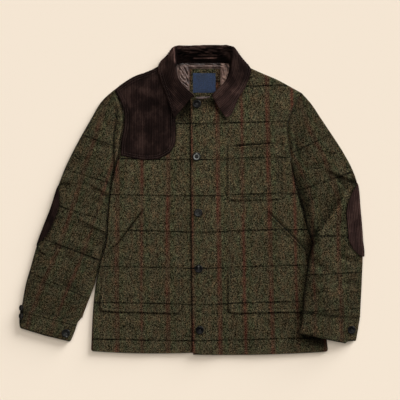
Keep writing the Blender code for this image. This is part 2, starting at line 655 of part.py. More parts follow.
def turn_button(name, place, face=(0.0, 0.0, 1.0), size=1.0):
    mesh = bpy.data.meshes.new(name)
    line = [(size * r, 0.0, size * h) for r, h in BUTTON]
    mesh.from_pydata(line, [(k, k + 1) for k in range(len(line) - 1)], [])
    made = keep(mesh, name, "horn")
    screw = made.modifiers.new("turned", "SCREW")
    screw.steps = BUTTON_TURN
    screw.render_steps = BUTTON_TURN
    screw.use_merge_vertices = True
    screw.merge_threshold = 0.00001
    screw.use_normal_calculate = True
    turn = Vector((0, 0, 1)).rotation_difference(Vector(face).normalized())
    made.matrix_world = Matrix.Translation(Vector(place)) @ turn.to_matrix().to_4x4()
    return made


UP = (0, 0, 1)
DOWN = (0, 0, -1)

line("back", back_grids(), "tweed")
for one in ("right", "left"):
    line(f"front_{one}", front_grids(one), "tweed")
    line(f"sleeve_{one}_upper", sleeve_grids(one, True), "tweed")
    line(f"sleeve_{one}_under", sleeve_grids(one, False), "tweed")
    line(f"cuff_{one}", cuff_grids(one), "tweed")
    line(f"elbow_patch_{one}", elbow_grids(one), "corduroy")
    sew(f"hip_pocket_{one}", pocket_grid(one, HIP_POCKET[one], HIP_SLOPE[one]), CORD_WALL, "tweed", UP)
sew("chest_pocket", pocket_grid("left", CHEST_POCKET, CHEST_SLOPE), CORD_WALL, "tweed", UP)
sew("shoulder_pad", pad_grid(), CORD_WALL, "corduroy", UP)
sew("collar", collar_grid(), COLLAR_WALL, "corduroy", (0, 1, 1))

layer = WALL + LIE + LINING_WALL
sew("neck_lining", flat_grid(NECK_LINING, layer), LINING_WALL, "satin", UP)
layer += LIE + LABEL_WALL
sew("label_patch", flat_grid(LABEL_PATCH, layer), LABEL_WALL, "tweed", UP)
layer += LIE + LABEL_WALL
sew("neck_label", flat_grid(NECK_LABEL, layer), LABEL_WALL, "label_cloth", UP)

for number, (button_x, button_y) in enumerate(FRONT_BUTTONS, 1):
    turn_button(f"button_{number}", (button_x, button_y, front_top("left", button_x) + LIE))
cuff_top = SLEEVE_HEIGHT + 2 * CUFF_GROW + LIE
turn_button("cuff_button_right", (-0.3142, -0.3334, cuff_top))
turn_button("cuff_button_right_edge", (-0.4252, -0.2704, 0.0125), EDGE_FACE, EDGE_SIZE)
turn_button("cuff_button_right_edge_lower", (-0.4255, -0.2906, 0.0146), EDGE_FACE, EDGE_SIZE)
cuff_spot = np.array([0.3990, -0.3250])
cuff_steps = ((0, 0), (0.004, 0), (0, 0.004))
cuff_low = [float(sleeve_lift("left", *(cuff_spot + step), 1.0)) for step in cuff_steps]
cuff_slope = ((cuff_low[0] - cuff_low[1]) / 0.004, (cuff_low[0] - cuff_low[2]) / 0.004, 1.0)
turn_button("cuff_button_left", (*cuff_spot, cuff_low[0] - CUFF_GROW + cuff_top + 0.0006), cuff_slope)
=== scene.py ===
"""Looks of a barn coat laid flat on its back: checked tweed, corduroy, quilted satin and horn buttons.

Right and left are the wearer's. +X is the wearer's left, +Y is towards the collar, +Z is up. Metres.
"""
import math

import bpy
import numpy as np
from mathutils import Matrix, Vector


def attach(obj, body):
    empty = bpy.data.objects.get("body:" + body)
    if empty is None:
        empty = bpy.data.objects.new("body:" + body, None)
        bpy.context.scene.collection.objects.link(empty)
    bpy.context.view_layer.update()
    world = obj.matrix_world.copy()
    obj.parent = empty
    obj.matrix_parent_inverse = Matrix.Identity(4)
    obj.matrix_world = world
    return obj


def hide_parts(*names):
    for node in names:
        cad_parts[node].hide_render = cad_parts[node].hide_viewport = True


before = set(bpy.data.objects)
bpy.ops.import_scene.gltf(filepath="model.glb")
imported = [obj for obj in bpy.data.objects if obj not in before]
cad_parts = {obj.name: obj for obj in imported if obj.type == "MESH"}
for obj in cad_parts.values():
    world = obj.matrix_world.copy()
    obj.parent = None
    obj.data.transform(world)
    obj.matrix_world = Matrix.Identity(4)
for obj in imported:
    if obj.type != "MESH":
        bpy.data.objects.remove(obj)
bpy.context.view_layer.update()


def mm(table):
    """A table of lengths in millimetres, in metres."""
    if isinstance(table, dict):
        return {name: mm(rows) for name, rows in table.items()}
    if isinstance(table, tuple):
        return tuple(mm(row) for row in table)
    return table / 1000


def marks(table):
    """Soft marks: lengths in millimetres, in metres, and last a share or strength that stays as it is."""
    if isinstance(table, dict):
        return {name: marks(rows) for name, rows in table.items()}
    return tuple((*mm(row[:-1]), row[-1]) for row in table)


# Sizes of the cloths and of the gaps between them, as in the solids
WALL = 0.0028
BODY_HEIGHT = 0.0094
SLEEVE_HEIGHT = 0.0092
SEAM = 0.0002
SEAM_SIDE = 0.0009
LIE = 0.0003
ARMHOLE_GAP = 0.0007
LAP_DIP = 0.0008
LAP_RISE = 0.0024
SLEEVE_LIFT = 0.0024
OVER_BODY = 0.0141
CUFF_GROW = 0.0024
CORD_WALL = 0.0018
PATCH_WALL = 0.0014
COLLAR_WALL = 0.0024
CUFF_WALL = 0.0052
LINING_WALL = 0.0008
LABEL_WALL = 0.0006
HEM_SAG = {"right": 0.0045, "left": 0.0036}
HEM_CORNER = 0.006
BACK_NECK = 0.3442
LAP_RIGHT = (-0.022, -0.006)
LAP_LEFT = (0.084, 0.044)
ELBOW_LIE = 0.0008
# Softer forms of the cloth alone
CORNER_RISE = 0.0040
NECK_DIP = 0.0030
CROWN = 0.0048
SINK_MOST = 0.0034
TOUCH = 0.0002

# Outlines seen from above: x, y
SIDE = mm({
    "right": (
        (-252, -379), (-247, -275.5), (-243, -230.5), (-237, -190.5), (-226, -143), (-216.5, -113),
        (-210.5, -43), (-202, 34.5), (-194, 74.5), (-185.5, 102),
    ),
    "left": (
        (341, -379.8), (325, -250.5), (312, -170.5), (300, -97), (282.5, -42), (267, 12), (255.5, 61.5),
        (248, 102),
    ),
})
ARMHOLE = mm({
    "right": (
        (-185.5, 102), (-182, 117), (-177, 149.5), (-171, 180.5), (-169.5, 212), (-177, 240.5),
        (-193.5, 275),
    ),
    "left": (
        (248, 102), (244.5, 132), (239, 167), (241, 199.5), (248, 219.5), (259.5, 245.5), (274, 267.5),
    ),
})
SHOULDER = mm({
    "right": (
        (-193.5, 275), (-174.5, 290.1), (-142, 309.8), (-114.5, 319.5), (-92, 329.5), (-67, 344.5),
    ),
    "left": (
        (274, 267.5), (250.5, 280.6), (213, 300.8), (175.5, 316.7), (145.5, 330.4), (118, 344.5),
    ),
})
# Front edges and necklines: y, x
FRONT_EDGE = mm({
    "right": (
        (-380.6, 40), (257, 40), (260, -1), (269.5, -11.5), (289.5, -28), (312, -36.8), (334.5, -39.5),
    ),
    "left": (
        (-387, 3.5), (256, -2.5), (259, 48), (269.5, 60.5), (289.5, 80.3), (312, 92), (334.5, 97),
    ),
})
# Sections of the sleeves from the shoulder to the cuff: inner x, inner y, outer x, outer y
SLEEVE = mm({
    "right": (
        (-187, 99.5, -193.5, 275), (-196.5, 72, -222, 249.5), (-204.5, 32, -254.5, 197),
        (-209, -8, -287, 139.5), (-213.5, -50.5, -314.3, 84.5), (-218, -90.5, -334.8, 32),
        (-226.5, -133, -352.5, -23), (-236.4, -175.5, -371.2, -70.5), (-244.1, -213, -387.6, -115.5),
        (-257.3, -250.5, -402.6, -168), (-267.2, -275.5, -414.7, -210.5), (-274, -295.5, -426, -273),
    ),
    "left": (
        (250, 99.5, 274, 267.5), (255.5, 77, 298.2, 240.2), (262, 47, 321.4, 205.5), (271, 7, 350.7, 162),
        (280.3, -25.5, 378.1, 119.5), (291, -60.5, 402, 74.5), (303, -98, 415, 34.5),
        (296.5, -128, 420.6, -25.5), (289.5, -163, 425.4, -80.5), (282.5, -203, 427.6, -138),
        (277.5, -243, 425.5, -195.5), (276.2, -278, 420.8, -294.5),
    ),
})
SEAM_SAG = {"right": 0.0040, "left": 0.0030}
CUFF = mm({
    "right": (
        (-282, -295.7, -428.6, -273.3), (-292, -327, -431.2, -298.5), (-303.2, -355.6, -431.3, -321.8),
    ),
    "left": (
        (275.2, -278.6, 420.6, -295.1), (274.8, -305.5, 415.8, -324), (273.5, -331.8, 410.8, -353.5),
    ),
})
# How far a cuff's hem hangs below the line through its corners: share from its outer edge, drop
CUFF_HANG = {
    "right": ((0.0, 0.0), (0.5, 0.0020), (1.0, 0.0)),
    "left": ((0.0, 0.0), (0.12, 0.0040), (0.17, 0.0094), (0.51, 0.0074), (0.80, 0.0048), (1.0, 0.0030)),
}
# Pulled corners of the cuffs' inner edges: share along, share and distance over which it fades, x, y
CUFF_PULL = {"right": (0.0, 0.17, 0.036, 0.0068, 0.0004), "left": (1.0, 0.55, 0.045, -0.0080, 0.0017)}
# Radius of the cuffs' lower corners: outer, inner
CUFF_ROUND = {"right": (0.0080, 0.0040), "left": (0.0030, 0.0)}
CUFF_SLIT = 0.15
CUFF_LONG = 0.045
# Sections of the collar's halves, from their front ends to the back neck:
# x, y, z of the neck seam, then of the roll line, then of the outer edge
COLLAR = mm((
    (7.2, 257.2, 12.8, 5.6, 261.6, 18.5, -44.5, 203, 14.8),
    (-10.5, 269.5, 12, -15.5, 279.5, 21, -60.5, 249.5, 15),
    (-26.8, 289.5, 11.4, -31.8, 300, 23, -73, 282, 15),
    (-35.8, 312, 11, -39, 324.5, 24, -81.5, 309.5, 14.8),
    (-37.4, 329.5, 11, -41.2, 347, 24.5, -85, 327, 14),
    (-36.6, 338.8, 10.5, -42.5, 365.5, 24, -80.5, 344.5, 10),
    (-30, 340.6, 7, -42.8, 380.6, 22, -60.8, 360, 5.5), (-15, 341.5, 5.2, -30, 384.6, 20.5, -37, 369, 3.5),
    (5.5, 341.7, 5, -2, 384.5, 20, -4.5, 370, 3.2), (29.4, 341.7, 5, 29.4, 385.1, 20, 29.4, 370, 3.2),
))
COLLAR_LEFT = mm((
    (46.7, 258, 12.8, 50.7, 263, 18.5, 86.4, 205.6, 14.8),
    (50, 260.5, 12.6, 54.5, 267, 19, 93.9, 209, 14.8),
    (61.4, 269.5, 12, 67.4, 279.5, 21, 115.1, 249.5, 15),
    (79.6, 289.5, 11.4, 86.6, 300.3, 23, 134.4, 282.6, 15),
    (90, 312, 11, 96, 324.5, 24, 145.6, 309.9, 14.8), (93.2, 329.5, 11, 99.7, 347, 24.5, 148, 328, 14),
    (92.8, 339, 10.5, 101.3, 365.5, 24, 136.4, 344.2, 10),
    (86, 340.6, 7, 101.4, 380.6, 22, 120.4, 359.8, 5.5),
    (73.5, 341.5, 5.2, 88.8, 384.9, 20.5, 95.8, 369, 3.5),
    (53.2, 341.7, 5, 60.8, 385.6, 20, 63.3, 370, 3.2), (29.4, 341.7, 5, 29.4, 385.1, 20, 29.4, 370, 3.2),
))
LEAF_BOW, LEAF_WAY = 0.0042, np.array([0.85, 0.53])  # of the left leaf's front edge: how far, which way
# The shoulder pad's edges: x, y
PAD_ARMHOLE = mm((
    (-178, 110.5), (-175.5, 149.5), (-169.5, 180.5), (-168, 212), (-175.5, 240.5), (-192.2, 274.7),
))
PAD_LOWER = mm(((-178, 110.5), (-142, 103), (-109.5, 99.5), (-79.5, 103.5), (-54.5, 117)))
PAD_FRONT = mm((
    (-54.5, 117), (-42.5, 137), (-40, 156), (-40.5, 202), (-44, 255), (-60, 305), (-85, 331.5),
))
PAD_SHOULDER = mm(((-192.2, 274.7), (-174.2, 289), (-141.7, 309), (-114, 319), (-85, 331.5)))
# Elbow patches: middle along the sleeve's outer edge, half length, middle and half width round it,
# skew, how far the lower corner stands off
ELBOW = {
    "right": (0.598, 0.094, -0.0292, 0.0498, 0.0, 0.0),
    "left": (0.596, 0.095, -0.0150, 0.0530, 0.30, 0.0026),
}
# Patch pockets: corner radius, then rows of y and both edges' x from the bottom up
POCKET = mm({
    "chest_pocket": (12, ((-0.5, 89.5, 222), (136.5, 89.5, 222))),
    "hip_pocket_right": (15, (
        (-281.5, -231.5, -27), (-138, -217, -27), (-110.5, -184.5, -27), (-80.5, -162, -27),
        (-28, -123, -27),
    )),
    "hip_pocket_left": (15, (
        (-281.5, 91, 309), (-125.5, 91, 282), (-105.5, 91, 264.5), (-78, 91, 238), (-33, 91, 192),
    )),
})
FRONT_OF = {name: "right" if name == "hip_pocket_right" else "left" for name in POCKET}
POCKET_ROW = 0.0066  # of its stitching, in from its edge
# How far the lower and the upper edge of a pocket slope
POCKET_SLOPE = {
    "chest_pocket": (0.015, 0.085),
    "hip_pocket_right": (-0.025, 0.0),
    "hip_pocket_left": (0.022, 0.0),
}
# Inside the neck: low x, low y, high x, high y
NECK_LINING = mm((-48, 242, 106, 344))
LABEL_PATCH = mm((-5.5, 248, 72, 328))
NECK_LABEL = mm((3, 268, 59.5, 317))
FRONT_BUTTONS = mm(((12.8, 239.2), (12, 107.6), (15.8, -32.7), (17.1, -172.4), (20, -325.5)))

# Creases: from x, from y, to x, to y, half width, depth (a ridge where negative), sideways bow
BODY_CREASES = mm((
    (-176, 100, -196, -5, 10, 1, 4), (-130, 90, -145, 20, 12, 0.7, -3), (-14, -36, -80, -56, 8, 0.6, 3),
    (-18, 102, -70, 80, 7, 0.5, -2), (-142, -379, -135, -310, 12, 1, 3),
    (-70, -380, -76, -320, 10, 0.7, -2), (260, 30, 285, -68, 9, -0.8, 3), (218, 185, 236, 90, 10, 0.9, -4),
    (36, 104, 86, 88, 8, 0.6, 3), (40, -34, 90, -56, 8, 0.6, -3), (133, -385, 128, -320, 12, 0.9, -3),
    (245, -380, 238, -330, 10, 0.9, 2),
))
SLEEVE_CREASES = mm({
    "right": (
        (-219, -13, -254, 2, 6, 1.9, -2), (-242, -140, -305, -115, 7, 2.7, 3),
        (-354, -113, -314, -126, 6, 1.9, 2), (-280, -226, -325, -211, 7, 2.3, 2),
        (-249, 144, -209, 132, 7, 2.3, -2), (-227, 199, -199, 179, 6, 1.7, 1),
        (-384, -211, -349, -221, 6, 1.9, 1), (-290, 100, -250, 95, 8, 1.5, 3),
    ),
    "left": (
        (283, -13, 311, 9, 7, 2.9, 2), (278, 79, 326, 92, 7, 2.3, -2), (311, 124, 356, 104, 6.5, 2.1, 3),
        (413, -156, 366, -136, 7, 2.7, 3), (420, -218, 378, -208, 7, 2.5, -2),
        (301, -156, 341, -171, 8, 2.5, -3), (296, -241, 333, -228, 7, 2.3, 2),
        (290, 200, 269, 165, 7, 1.9, 2),
    ),
})
# The groove beside the right sleeve's head
HEAD_GROOVE = mm((
    (-185.6, 256.9), (-186.9, 245.6), (-187.1, 224.4), (-188, 201.9), (-192.4, 174.4), (-196.1, 133.1),
    (-194.9, 99.4), (-194.4, 79.4),
))
# Folds, deepest on the left of their line:
# from x, y, to x, y, way to the deepest place, depth at both ends, bow
SLEEVE_FOLDS = mm({
    "right": (
        (-218, -80, -295, -38, 5, 3.4, 1, 2), (-208, 15, -270, 50, 4.5, 3, 0.8, 2),
        (-242, -145, -308, -116, 4.5, 2.6, 0.8, 2),
    ),
    "left": (
        (298.5, -106, 384, 18, 6.5, 5.6, 3, -3), (411, 47.5, 340, 73.5, 4.2, 4.4, 2.4, 2),
        (360, 50, 388, 5, 5, 3, 1, 2),
    ),
})
CUFF_CREASES = mm({
    "right": ((-305, -306, -318, -348, 1.2, 0.9, 0),),
    "left": ((372.5, -288, 371.5, -350, 1.2, 1.2, 0),),
})
LINING_CREASES = mm((
    (83.6, 339.2, 92, 327, 1.7, 2.6, 1), (86.2, 306, 92.5, 315.5, 1.6, 2.4, 1),
    (-20.9, 332.6, -9.4, 309.9, 1.6, 2.6, 1), (-28.1, 311.9, -17.6, 299.4, 1.6, 2.6, -1),
    (-33.1, 333.1, -29, 324, 1.6, 2.6, 0), (-15, 308, -8, 290, 1.5, 2.4, 1),
    (-29, 327, -21, 313, 1.4, 1.8, 1), (-12, 340, 6, 336, 1.4, 1.6, 0), (-25, 296, -8, 282, 1.4, 2, 1),
    (74, 304.5, 84.4, 299.4, 1.8, 2.8, 0), (84.4, 338.9, 92.6, 328.6, 1.6, 2.6, 1),
    (77, 330, 82, 312, 1.4, 1.8, -1), (30, 339, 52, 337, 1.4, 1.6, 0), (62, 338, 78, 334, 1.4, 1.8, 1),
))
# Low swells of the cloth: wavelength along x, along y, phase, height
BODY_SWELLS = (
    (0.155, 0.410, 0.4, 0.00045), (-0.210, 0.190, 1.9, 0.00040), (0.095, -0.340, 3.1, 0.00022),
    (0.330, 0.105, 5.0, 0.00026),
)
SLEEVE_SWELLS = (
    (0.120, 0.085, 0.9, 0.00045), (-0.090, 0.130, 2.6, 0.00040), (0.210, -0.060, 4.2, 0.00028),
)

FINE = np.linspace(0, 1, 241)


def xy(spots):
    """Places as seen from above."""
    return spots[..., 0], spots[..., 1]


def laid(x, y, high, low):
    """Outer and inner face of a piece that lies flat."""
    return tuple(np.stack(np.broadcast_arrays(x, y, z), axis=-1) for z in (high, low))


def ease(value):
    """0 below 0, 1 above 1 and a soft step between."""
    value = np.clip(value, 0.0, 1.0)
    return value * value * (3.0 - 2.0 * value)


def dent(distance, half):
    """1 in the middle of a soft dent and almost 0 past its half width."""
    return np.exp(-((distance / half) ** 2))


def along(points, shares):
    """Places at these shares of the length of a smooth curve through the points."""
    knots = np.array(points, float)
    steps = np.linalg.norm(np.diff(knots, axis=0), axis=1)
    at = np.concatenate([[0.0], np.cumsum(steps)])
    slopes = np.gradient(knots, at, axis=0)
    fine = np.linspace(0.0, at[-1], 40 * len(steps) + 1)
    part = np.clip(np.searchsorted(at, fine, side="right") - 1, 0, len(steps) - 1)
    length = steps[part][:, None]
    t = ((fine - at[part]) / steps[part])[:, None]
    curve = (
        (2 * t**3 - 3 * t**2 + 1) * knots[part]
        + (t**3 - 2 * t**2 + t) * length * slopes[part]
        + (3 * t**2 - 2 * t**3) * knots[part + 1]
        + (t**3 - t**2) * length * slopes[part + 1]
    )
    gone = lengths(curve)
    return between(np.asarray(shares, float) * gone[-1], gone, curve)


def between(at, gone, rows):
    """Places or ways at these distances along the line that they belong to."""
    return np.stack([np.interp(at, gone, rows[:, k]) for k in range(rows.shape[1])], axis=-1)


def lengths(curve):
    """How far along a line each of its points is."""
    return np.concatenate([[0.0], np.cumsum(np.linalg.norm(np.diff(curve, axis=0), axis=1))])


def away(x, y, line):
    """Distance from places to the nearest point of a line."""
    nearest = np.full(np.shape(x), 1.0)
    for at_x, at_y in line:
        nearest = np.minimum(nearest, (x - at_x) ** 2 + (y - at_y) ** 2)
    return np.sqrt(nearest)


def along_line(x, y, from_x, from_y, to_x, to_y, bow):
    """How far along a bowed line places are, as a share of it, and how far to its left."""
    length = math.hypot(to_x - from_x, to_y - from_y)
    run_x, run_y = (to_x - from_x) / length, (to_y - from_y) / length
    gone = ((x - from_x) * run_x + (y - from_y) * run_y) / length
    return gone, (y - from_y) * run_x - (x - from_x) * run_y - bow * 4 * gone * (1 - gone)


def crease_depth(x, y, table):
    """How far the cloth sinks in its creases, with a low ridge on each side of each."""
    sunk = np.zeros(np.shape(x))
    for *line, half, deep, bow in table:
        gone, off = along_line(x, y, *line, bow)
        ends = ease((gone + 0.12) / 0.35) * ease((1.12 - gone) / 0.35)
        side = np.abs(off) / half
        sunk += deep * ends * (dent(side, 1.0) - 0.36 * dent(side - 2.1, 0.9))
    return sunk


def fold_depth(x, y, table):
    """How far the cloth sinks on the left of its folds, and rises in a ridge on their right."""
    sunk = np.zeros(np.shape(x))
    for *line, reach, first, last, bow in table:
        gone, off = along_line(x, y, *line, bow)
        deep = first + (last - first) * np.clip(gone, 0, 1)
        ends = ease((gone + 0.20) / 0.22) * ease((1.22 - gone) / 0.30)
        left, right = np.maximum(off, 0.0) / reach, np.maximum(-off, 0.0) / (0.6 * reach)
        sunk += deep * ends * (left * np.exp(1 - left) - 0.35 * right * np.exp(1 - right))
    return sunk


def swell(x, y, table):
    return sum(
        high * np.sin(2 * math.pi * (x / long_x + y / long_y) + phase)
        for long_x, long_y, phase, high in table
    )


OUTLINE = {
    zone: {side: along(table[side], FINE) for side in table}
    for zone, table in {"side": SIDE, "armhole": ARMHOLE, "shoulder": SHOULDER}.items()
}
BODY_OUTLINE = np.concatenate([OUTLINE[zone][side][::2] for zone in OUTLINE for side in SIDE])


def side_x(side, y):
    curve = OUTLINE["side"][side]
    return np.interp(y, curve[:, 1], curve[:, 0])


def front_top(side, x, y):
    """Height of a front's outer face before it creases: the over front rides up at the placket."""
    if side == "right":
        lap = ease((x - LAP_RIGHT[0]) / (LAP_RIGHT[1] - LAP_RIGHT[0]))
        return BODY_HEIGHT - LAP_DIP * lap - NECK_DIP * dent(x + 0.012, 0.018) * dent(y - 0.218, 0.020)
    lap = 1 - ease((x - LAP_LEFT[1]) / (LAP_LEFT[0] - LAP_LEFT[1]))
    corner = (1 - ease((x - 0.008) / 0.034)) * ease((y - 0.165) / 0.075)
    return BODY_HEIGHT + LAP_RISE * lap + CORNER_RISE * corner


def pocket_slit(name):
    """The line of a pocket's opening."""
    table = np.array(POCKET[name][1])
    if name == "chest_pocket":
        x = np.linspace(table[-1, 1] + 0.022, table[-1, 2] - 0.028, 40)
        return np.stack([x, pocket_tilt(name, x, np.full(40, table[-1, 0]))], axis=1)
    edge = table[1:, [2, 0]] if name == "hip_pocket_left" else table[1:, [1, 0]]
    return along(edge, np.linspace(0, 1, 60))


def pocket_tilt(name, x, level):
    """Where a level line of a pocket runs at x."""
    table = np.array(POCKET[name][1])
    low, high = POCKET_SLOPE[name]
    share = (level - table[0, 0]) / (table[-1, 0] - table[0, 0])
    return level + (low * (1 - share) + high * share) * (x - (table[0, 1] + table[0, 2]) / 2)


def pocket_plan(name):
    """Places of a pocket seen from above, row by row, and points all along its outline."""
    corner, rows = POCKET[name]
    table = np.array(rows)
    bottom, top = table[0, 0], table[-1, 0]
    levels = [bottom + corner * (1 - math.cos(a)) for a in np.linspace(0, math.pi / 2, 12)]
    levels = np.array(levels + list(np.linspace(bottom + corner, top, 92)[1:]))
    cut = np.where(levels < bottom + corner, corner - np.sqrt(
        np.maximum(0.0, corner**2 - (corner - (levels - bottom)) ** 2)), 0.0)
    start = np.interp(levels, table[:, 0], table[:, 1]) + cut
    end = np.interp(levels, table[:, 0], table[:, 2]) - cut
    share = (1 - np.cos(np.linspace(0, math.pi, 84))) / 2 * 0.35 + np.linspace(0, 1, 84) * 0.65
    x = start[:, None] + (end - start)[:, None] * share
    y = pocket_tilt(name, x, np.broadcast_to(levels[:, None], x.shape))
    outline = np.concatenate([
        np.c_[x[0], y[0]], np.c_[x[:, -1], y[:, -1]], np.c_[x[-1], y[-1]], np.c_[x[:, 0], y[:, 0]],
    ])
    return x, y, np.concatenate([outline, (outline[1:] + outline[:-1]) / 2])


SLITS = {name: pocket_slit(name) for name in POCKET}
POCKET_OUTLINE = {name: pocket_plan(name)[2][::2] for name in POCKET}


def pocket_stands(name, y):
    """1 where a pocket's edge stands off its front and 0 where it is pressed flush with it."""
    if name == "chest_pocket":
        return np.full(np.shape(y), 0.6)
    return 1 - ease((y + 0.222) / 0.060)


def pocket_trough(x, y):
    """How far the fronts are pulled in along the pockets' edges."""
    return sum(
        0.0022 * pocket_stands(name, y) * dent(away(x, y, outline), 0.0036)
        for name, outline in POCKET_OUTLINE.items()
    )


def drape(x, y):
    """Swells, creases and pulled seams of both fronts."""
    held = ease(away(x, y, BODY_OUTLINE) / 0.030)
    soft = swell(x, y, BODY_SWELLS) - crease_depth(x, y, BODY_CREASES)
    for side in SIDE:
        soft = soft - 0.0018 * dent(away(x, y, OUTLINE["armhole"][side][::3]), 0.0045)
    soft = soft - pocket_trough(x, y)
    for name, slit in SLITS.items():
        shift = 0.0015 if name == "hip_pocket_left" else -0.0015
        moved = slit + (np.array([0.0, 0.0020]) if name == "chest_pocket" else np.array([shift, 0.0015]))
        soft = soft - 0.0026 * dent(away(x, y, moved), 0.0032)
    return held * soft


def body_height(side, x, y):
    return front_top(side, x, y) + drape(x, y)


def body_edge(side, zone, share):
    """A place on the body's edge, the way inwards, and 1 where the cloth rolls over there."""
    curve = OUTLINE[zone][side]
    here, before, after = (
        between(s, FINE, curve) for s in (share, max(share - 0.01, 0.0), min(share + 0.01, 1.0)))
    way = (after - before) / np.linalg.norm(after - before)
    inward = np.array([way[1], -way[0]]) if side == "right" else np.array([-way[1], way[0]])
    rise = here[1] - curve[0, 1]
    if zone == "side" and rise < HEM_CORNER:
        here[0] += inward[0] * (HEM_CORNER - math.sqrt(HEM_CORNER**2 - (HEM_CORNER - rise) ** 2))
    rolled = 1.0
    if zone == "armhole":
        rolled = float(1 - ease(share / 0.07) + ease((share - 0.95) / 0.05))
    return here, inward, rolled


EDGE_ROUND = np.radians((14, 28, 42, 56, 68, 79, 90))


def roll_columns(height):
    """Up the round of a flattened tube: distances in from its edge, heights above the seam, slopes."""
    turns = EDGE_ROUND
    distance = np.concatenate([[0.0, 0.0], height / 2 * (1 - np.cos(turns))])
    rise = np.concatenate([[SEAM, SEAM_SIDE], height / 2 * np.sin(turns)])
    return distance, rise, np.concatenate([[0.0, 0.0], turns])


def body_rows(side, top, counts):
    """The rows of a body panel from the hem to the neck: zone, share of that zone's edge."""
    length = OUTLINE["side"][side][-1, 1] - OUTLINE["side"][side][0, 1]
    shoulder = OUTLINE["shoulder"][side]
    last = np.interp(top, shoulder[:, 1], FINE)
    rows = [("side", f * HEM_CORNER / length) for f in (0.0, 0.12, 0.35, 0.7)]
    rows += [("side", s) for s in np.linspace(HEM_CORNER / length, 1.0, counts[0])]
    rows += [("armhole", s) for s in np.linspace(0, 1, counts[1])[1:-1]]
    rows += [("shoulder", s) for s in np.linspace(0.0, last, counts[2])]
    return rows


def rolled_strip(side, zone, share):
    """The strip of a body panel along its edge: places, places behind, drop of both faces."""
    here, inward, rolled = body_edge(side, zone, share)
    distance, rise, turn = roll_columns(BODY_HEIGHT)
    distance[1] = 0.0006 * (1 - rolled)
    turn = turn * rolled + math.pi / 2 * (1 - rolled)
    spots = here + inward * distance[:, None]
    behind = spots + inward * (WALL * np.cos(turn))[:, None]
    drop = rolled * (BODY_HEIGHT / 2 - rise)
    return spots, behind, drop, drop + WALL * np.sin(turn)


def front_faces(side):
    """Outer and inner face of a front, row by row from the hem to the shoulder."""
    edge = np.array(FRONT_EDGE[side])
    armhole = OUTLINE["armhole"][side]
    rows = body_rows(side, edge[-1, 0], (172, 62, 36))
    for level in edge[1:3, 0]:
        share = np.interp(level, armhole[:, 1], FINE)
        rows = [r for r in rows if r[0] != "armhole" or abs(r[1] - share) > 0.004] + [("armhole", share)]
    order = {"side": 0, "armhole": 1, "shoulder": 2}
    rows.sort(key=lambda row: (order[row[0]], row[1]))
    hem = OUTLINE["side"][side][0, 1]
    outer, inner = [], []
    for zone, share in rows:
        spots, behind, drop, drop_behind = rolled_strip(side, zone, share)
        level = body_edge(side, zone, share)[0][1]
        near_hem = max(0.0, 1 - (level - hem) / 0.05)
        end = np.interp(level, edge[:, 0], edge[:, 1])
        start_x, start_y = spots[-1]
        share_x = np.linspace(0, 1, 128)[1:]
        x = start_x + (end - start_x) * share_x
        y = start_y + (level - start_y) * share_x + near_hem * (edge[0, 0] - hem) * share_x
        y = y - near_hem * HEM_SAG[side] * 4 * share_x * (1 - share_x)
        top = front_top(side, spots[:, 0], spots[:, 1])
        flat = front_top(side, x, y)
        outer.append(np.concatenate([np.c_[spots, top - drop], np.c_[x, y, flat]]))
        inner.append(np.concatenate([np.c_[behind, top - drop_behind], np.c_[x, y, flat - WALL]]))
    outer, inner = np.array(outer), np.array(inner)
    moved = drape(*xy(outer))
    outer[..., 2] += moved
    inner[..., 2] += moved
    return outer, inner


def back_faces():
    rows = {side: body_rows(side, BACK_NECK, (80, 30, 22)) for side in SIDE}
    outer, inner = [], []
    for right, left in zip(rows["right"], rows["left"]):
        here, behind, drop, drop_behind = rolled_strip("right", *right)
        there, behind_there, fall, fall_behind = rolled_strip("left", *left)
        share = np.linspace(0, 1, 40)[1:-1, None]
        middle = here[-1] + (there[-1] - here[-1]) * share
        flat = np.zeros(len(middle))
        outer.append(np.concatenate([np.c_[here, drop], np.c_[middle, flat], np.c_[there, fall][::-1]]))
        inner.append(np.concatenate([
            np.c_[behind, drop_behind], np.c_[middle, flat + WALL], np.c_[behind_there, fall_behind][::-1],
        ]))
    return np.array(outer), np.array(inner)


def sleeve_lift(side, x, y, share):
    """Height of a sleeve's underside: the left forearm climbs onto the body."""
    rest = SLEEVE_LIFT * ease(share / 0.2)
    if side == "right":
        return rest
    inside = side_x("left", y) - x
    climb = ease((inside + 0.072) / 0.068) * ease((-0.013 - y) / 0.0775)
    return rest + (OVER_BODY - rest) * climb


def sections(table, shares):
    """Both edges of a sleeve or cuff and the ways inwards from them."""
    rows = along(table, shares)
    inner, outer = rows[:, :2], rows[:, 2:]
    ways = []
    for edge, other in ((inner, outer), (outer, inner)):
        run = np.gradient(edge, axis=0)
        run /= np.linalg.norm(run, axis=1)[:, None]
        way = np.stack([-run[:, 1], run[:, 0]], axis=1)
        way *= np.sign(np.sum(way * (other - edge), axis=1))[:, None]
        ways.append(way)
    return inner, outer, ways[0], ways[1]


def sleeve_sections(side, shares):
    """Sections of a sleeve, its inner edge drawn up to the body beside it."""
    inner, outer, from_inner, from_outer = sections(SLEEVE[side], shares)
    low, high = {"right": (-0.235, 0.060), "left": (-0.118, 0.022)}[side]
    sign = 1 if side == "right" else -1
    near = ease((inner[:, 1] - low) / high) * ease((0.104 - inner[:, 1]) / 0.012)
    over = 0.0 if side == "right" else 0.0046 * ease((-0.030 - inner[:, 1]) / 0.045)
    inner[:, 0] += near * (side_x(side, inner[:, 1]) - sign * TOUCH - over - inner[:, 0])
    return inner, outer, from_inner, from_outer


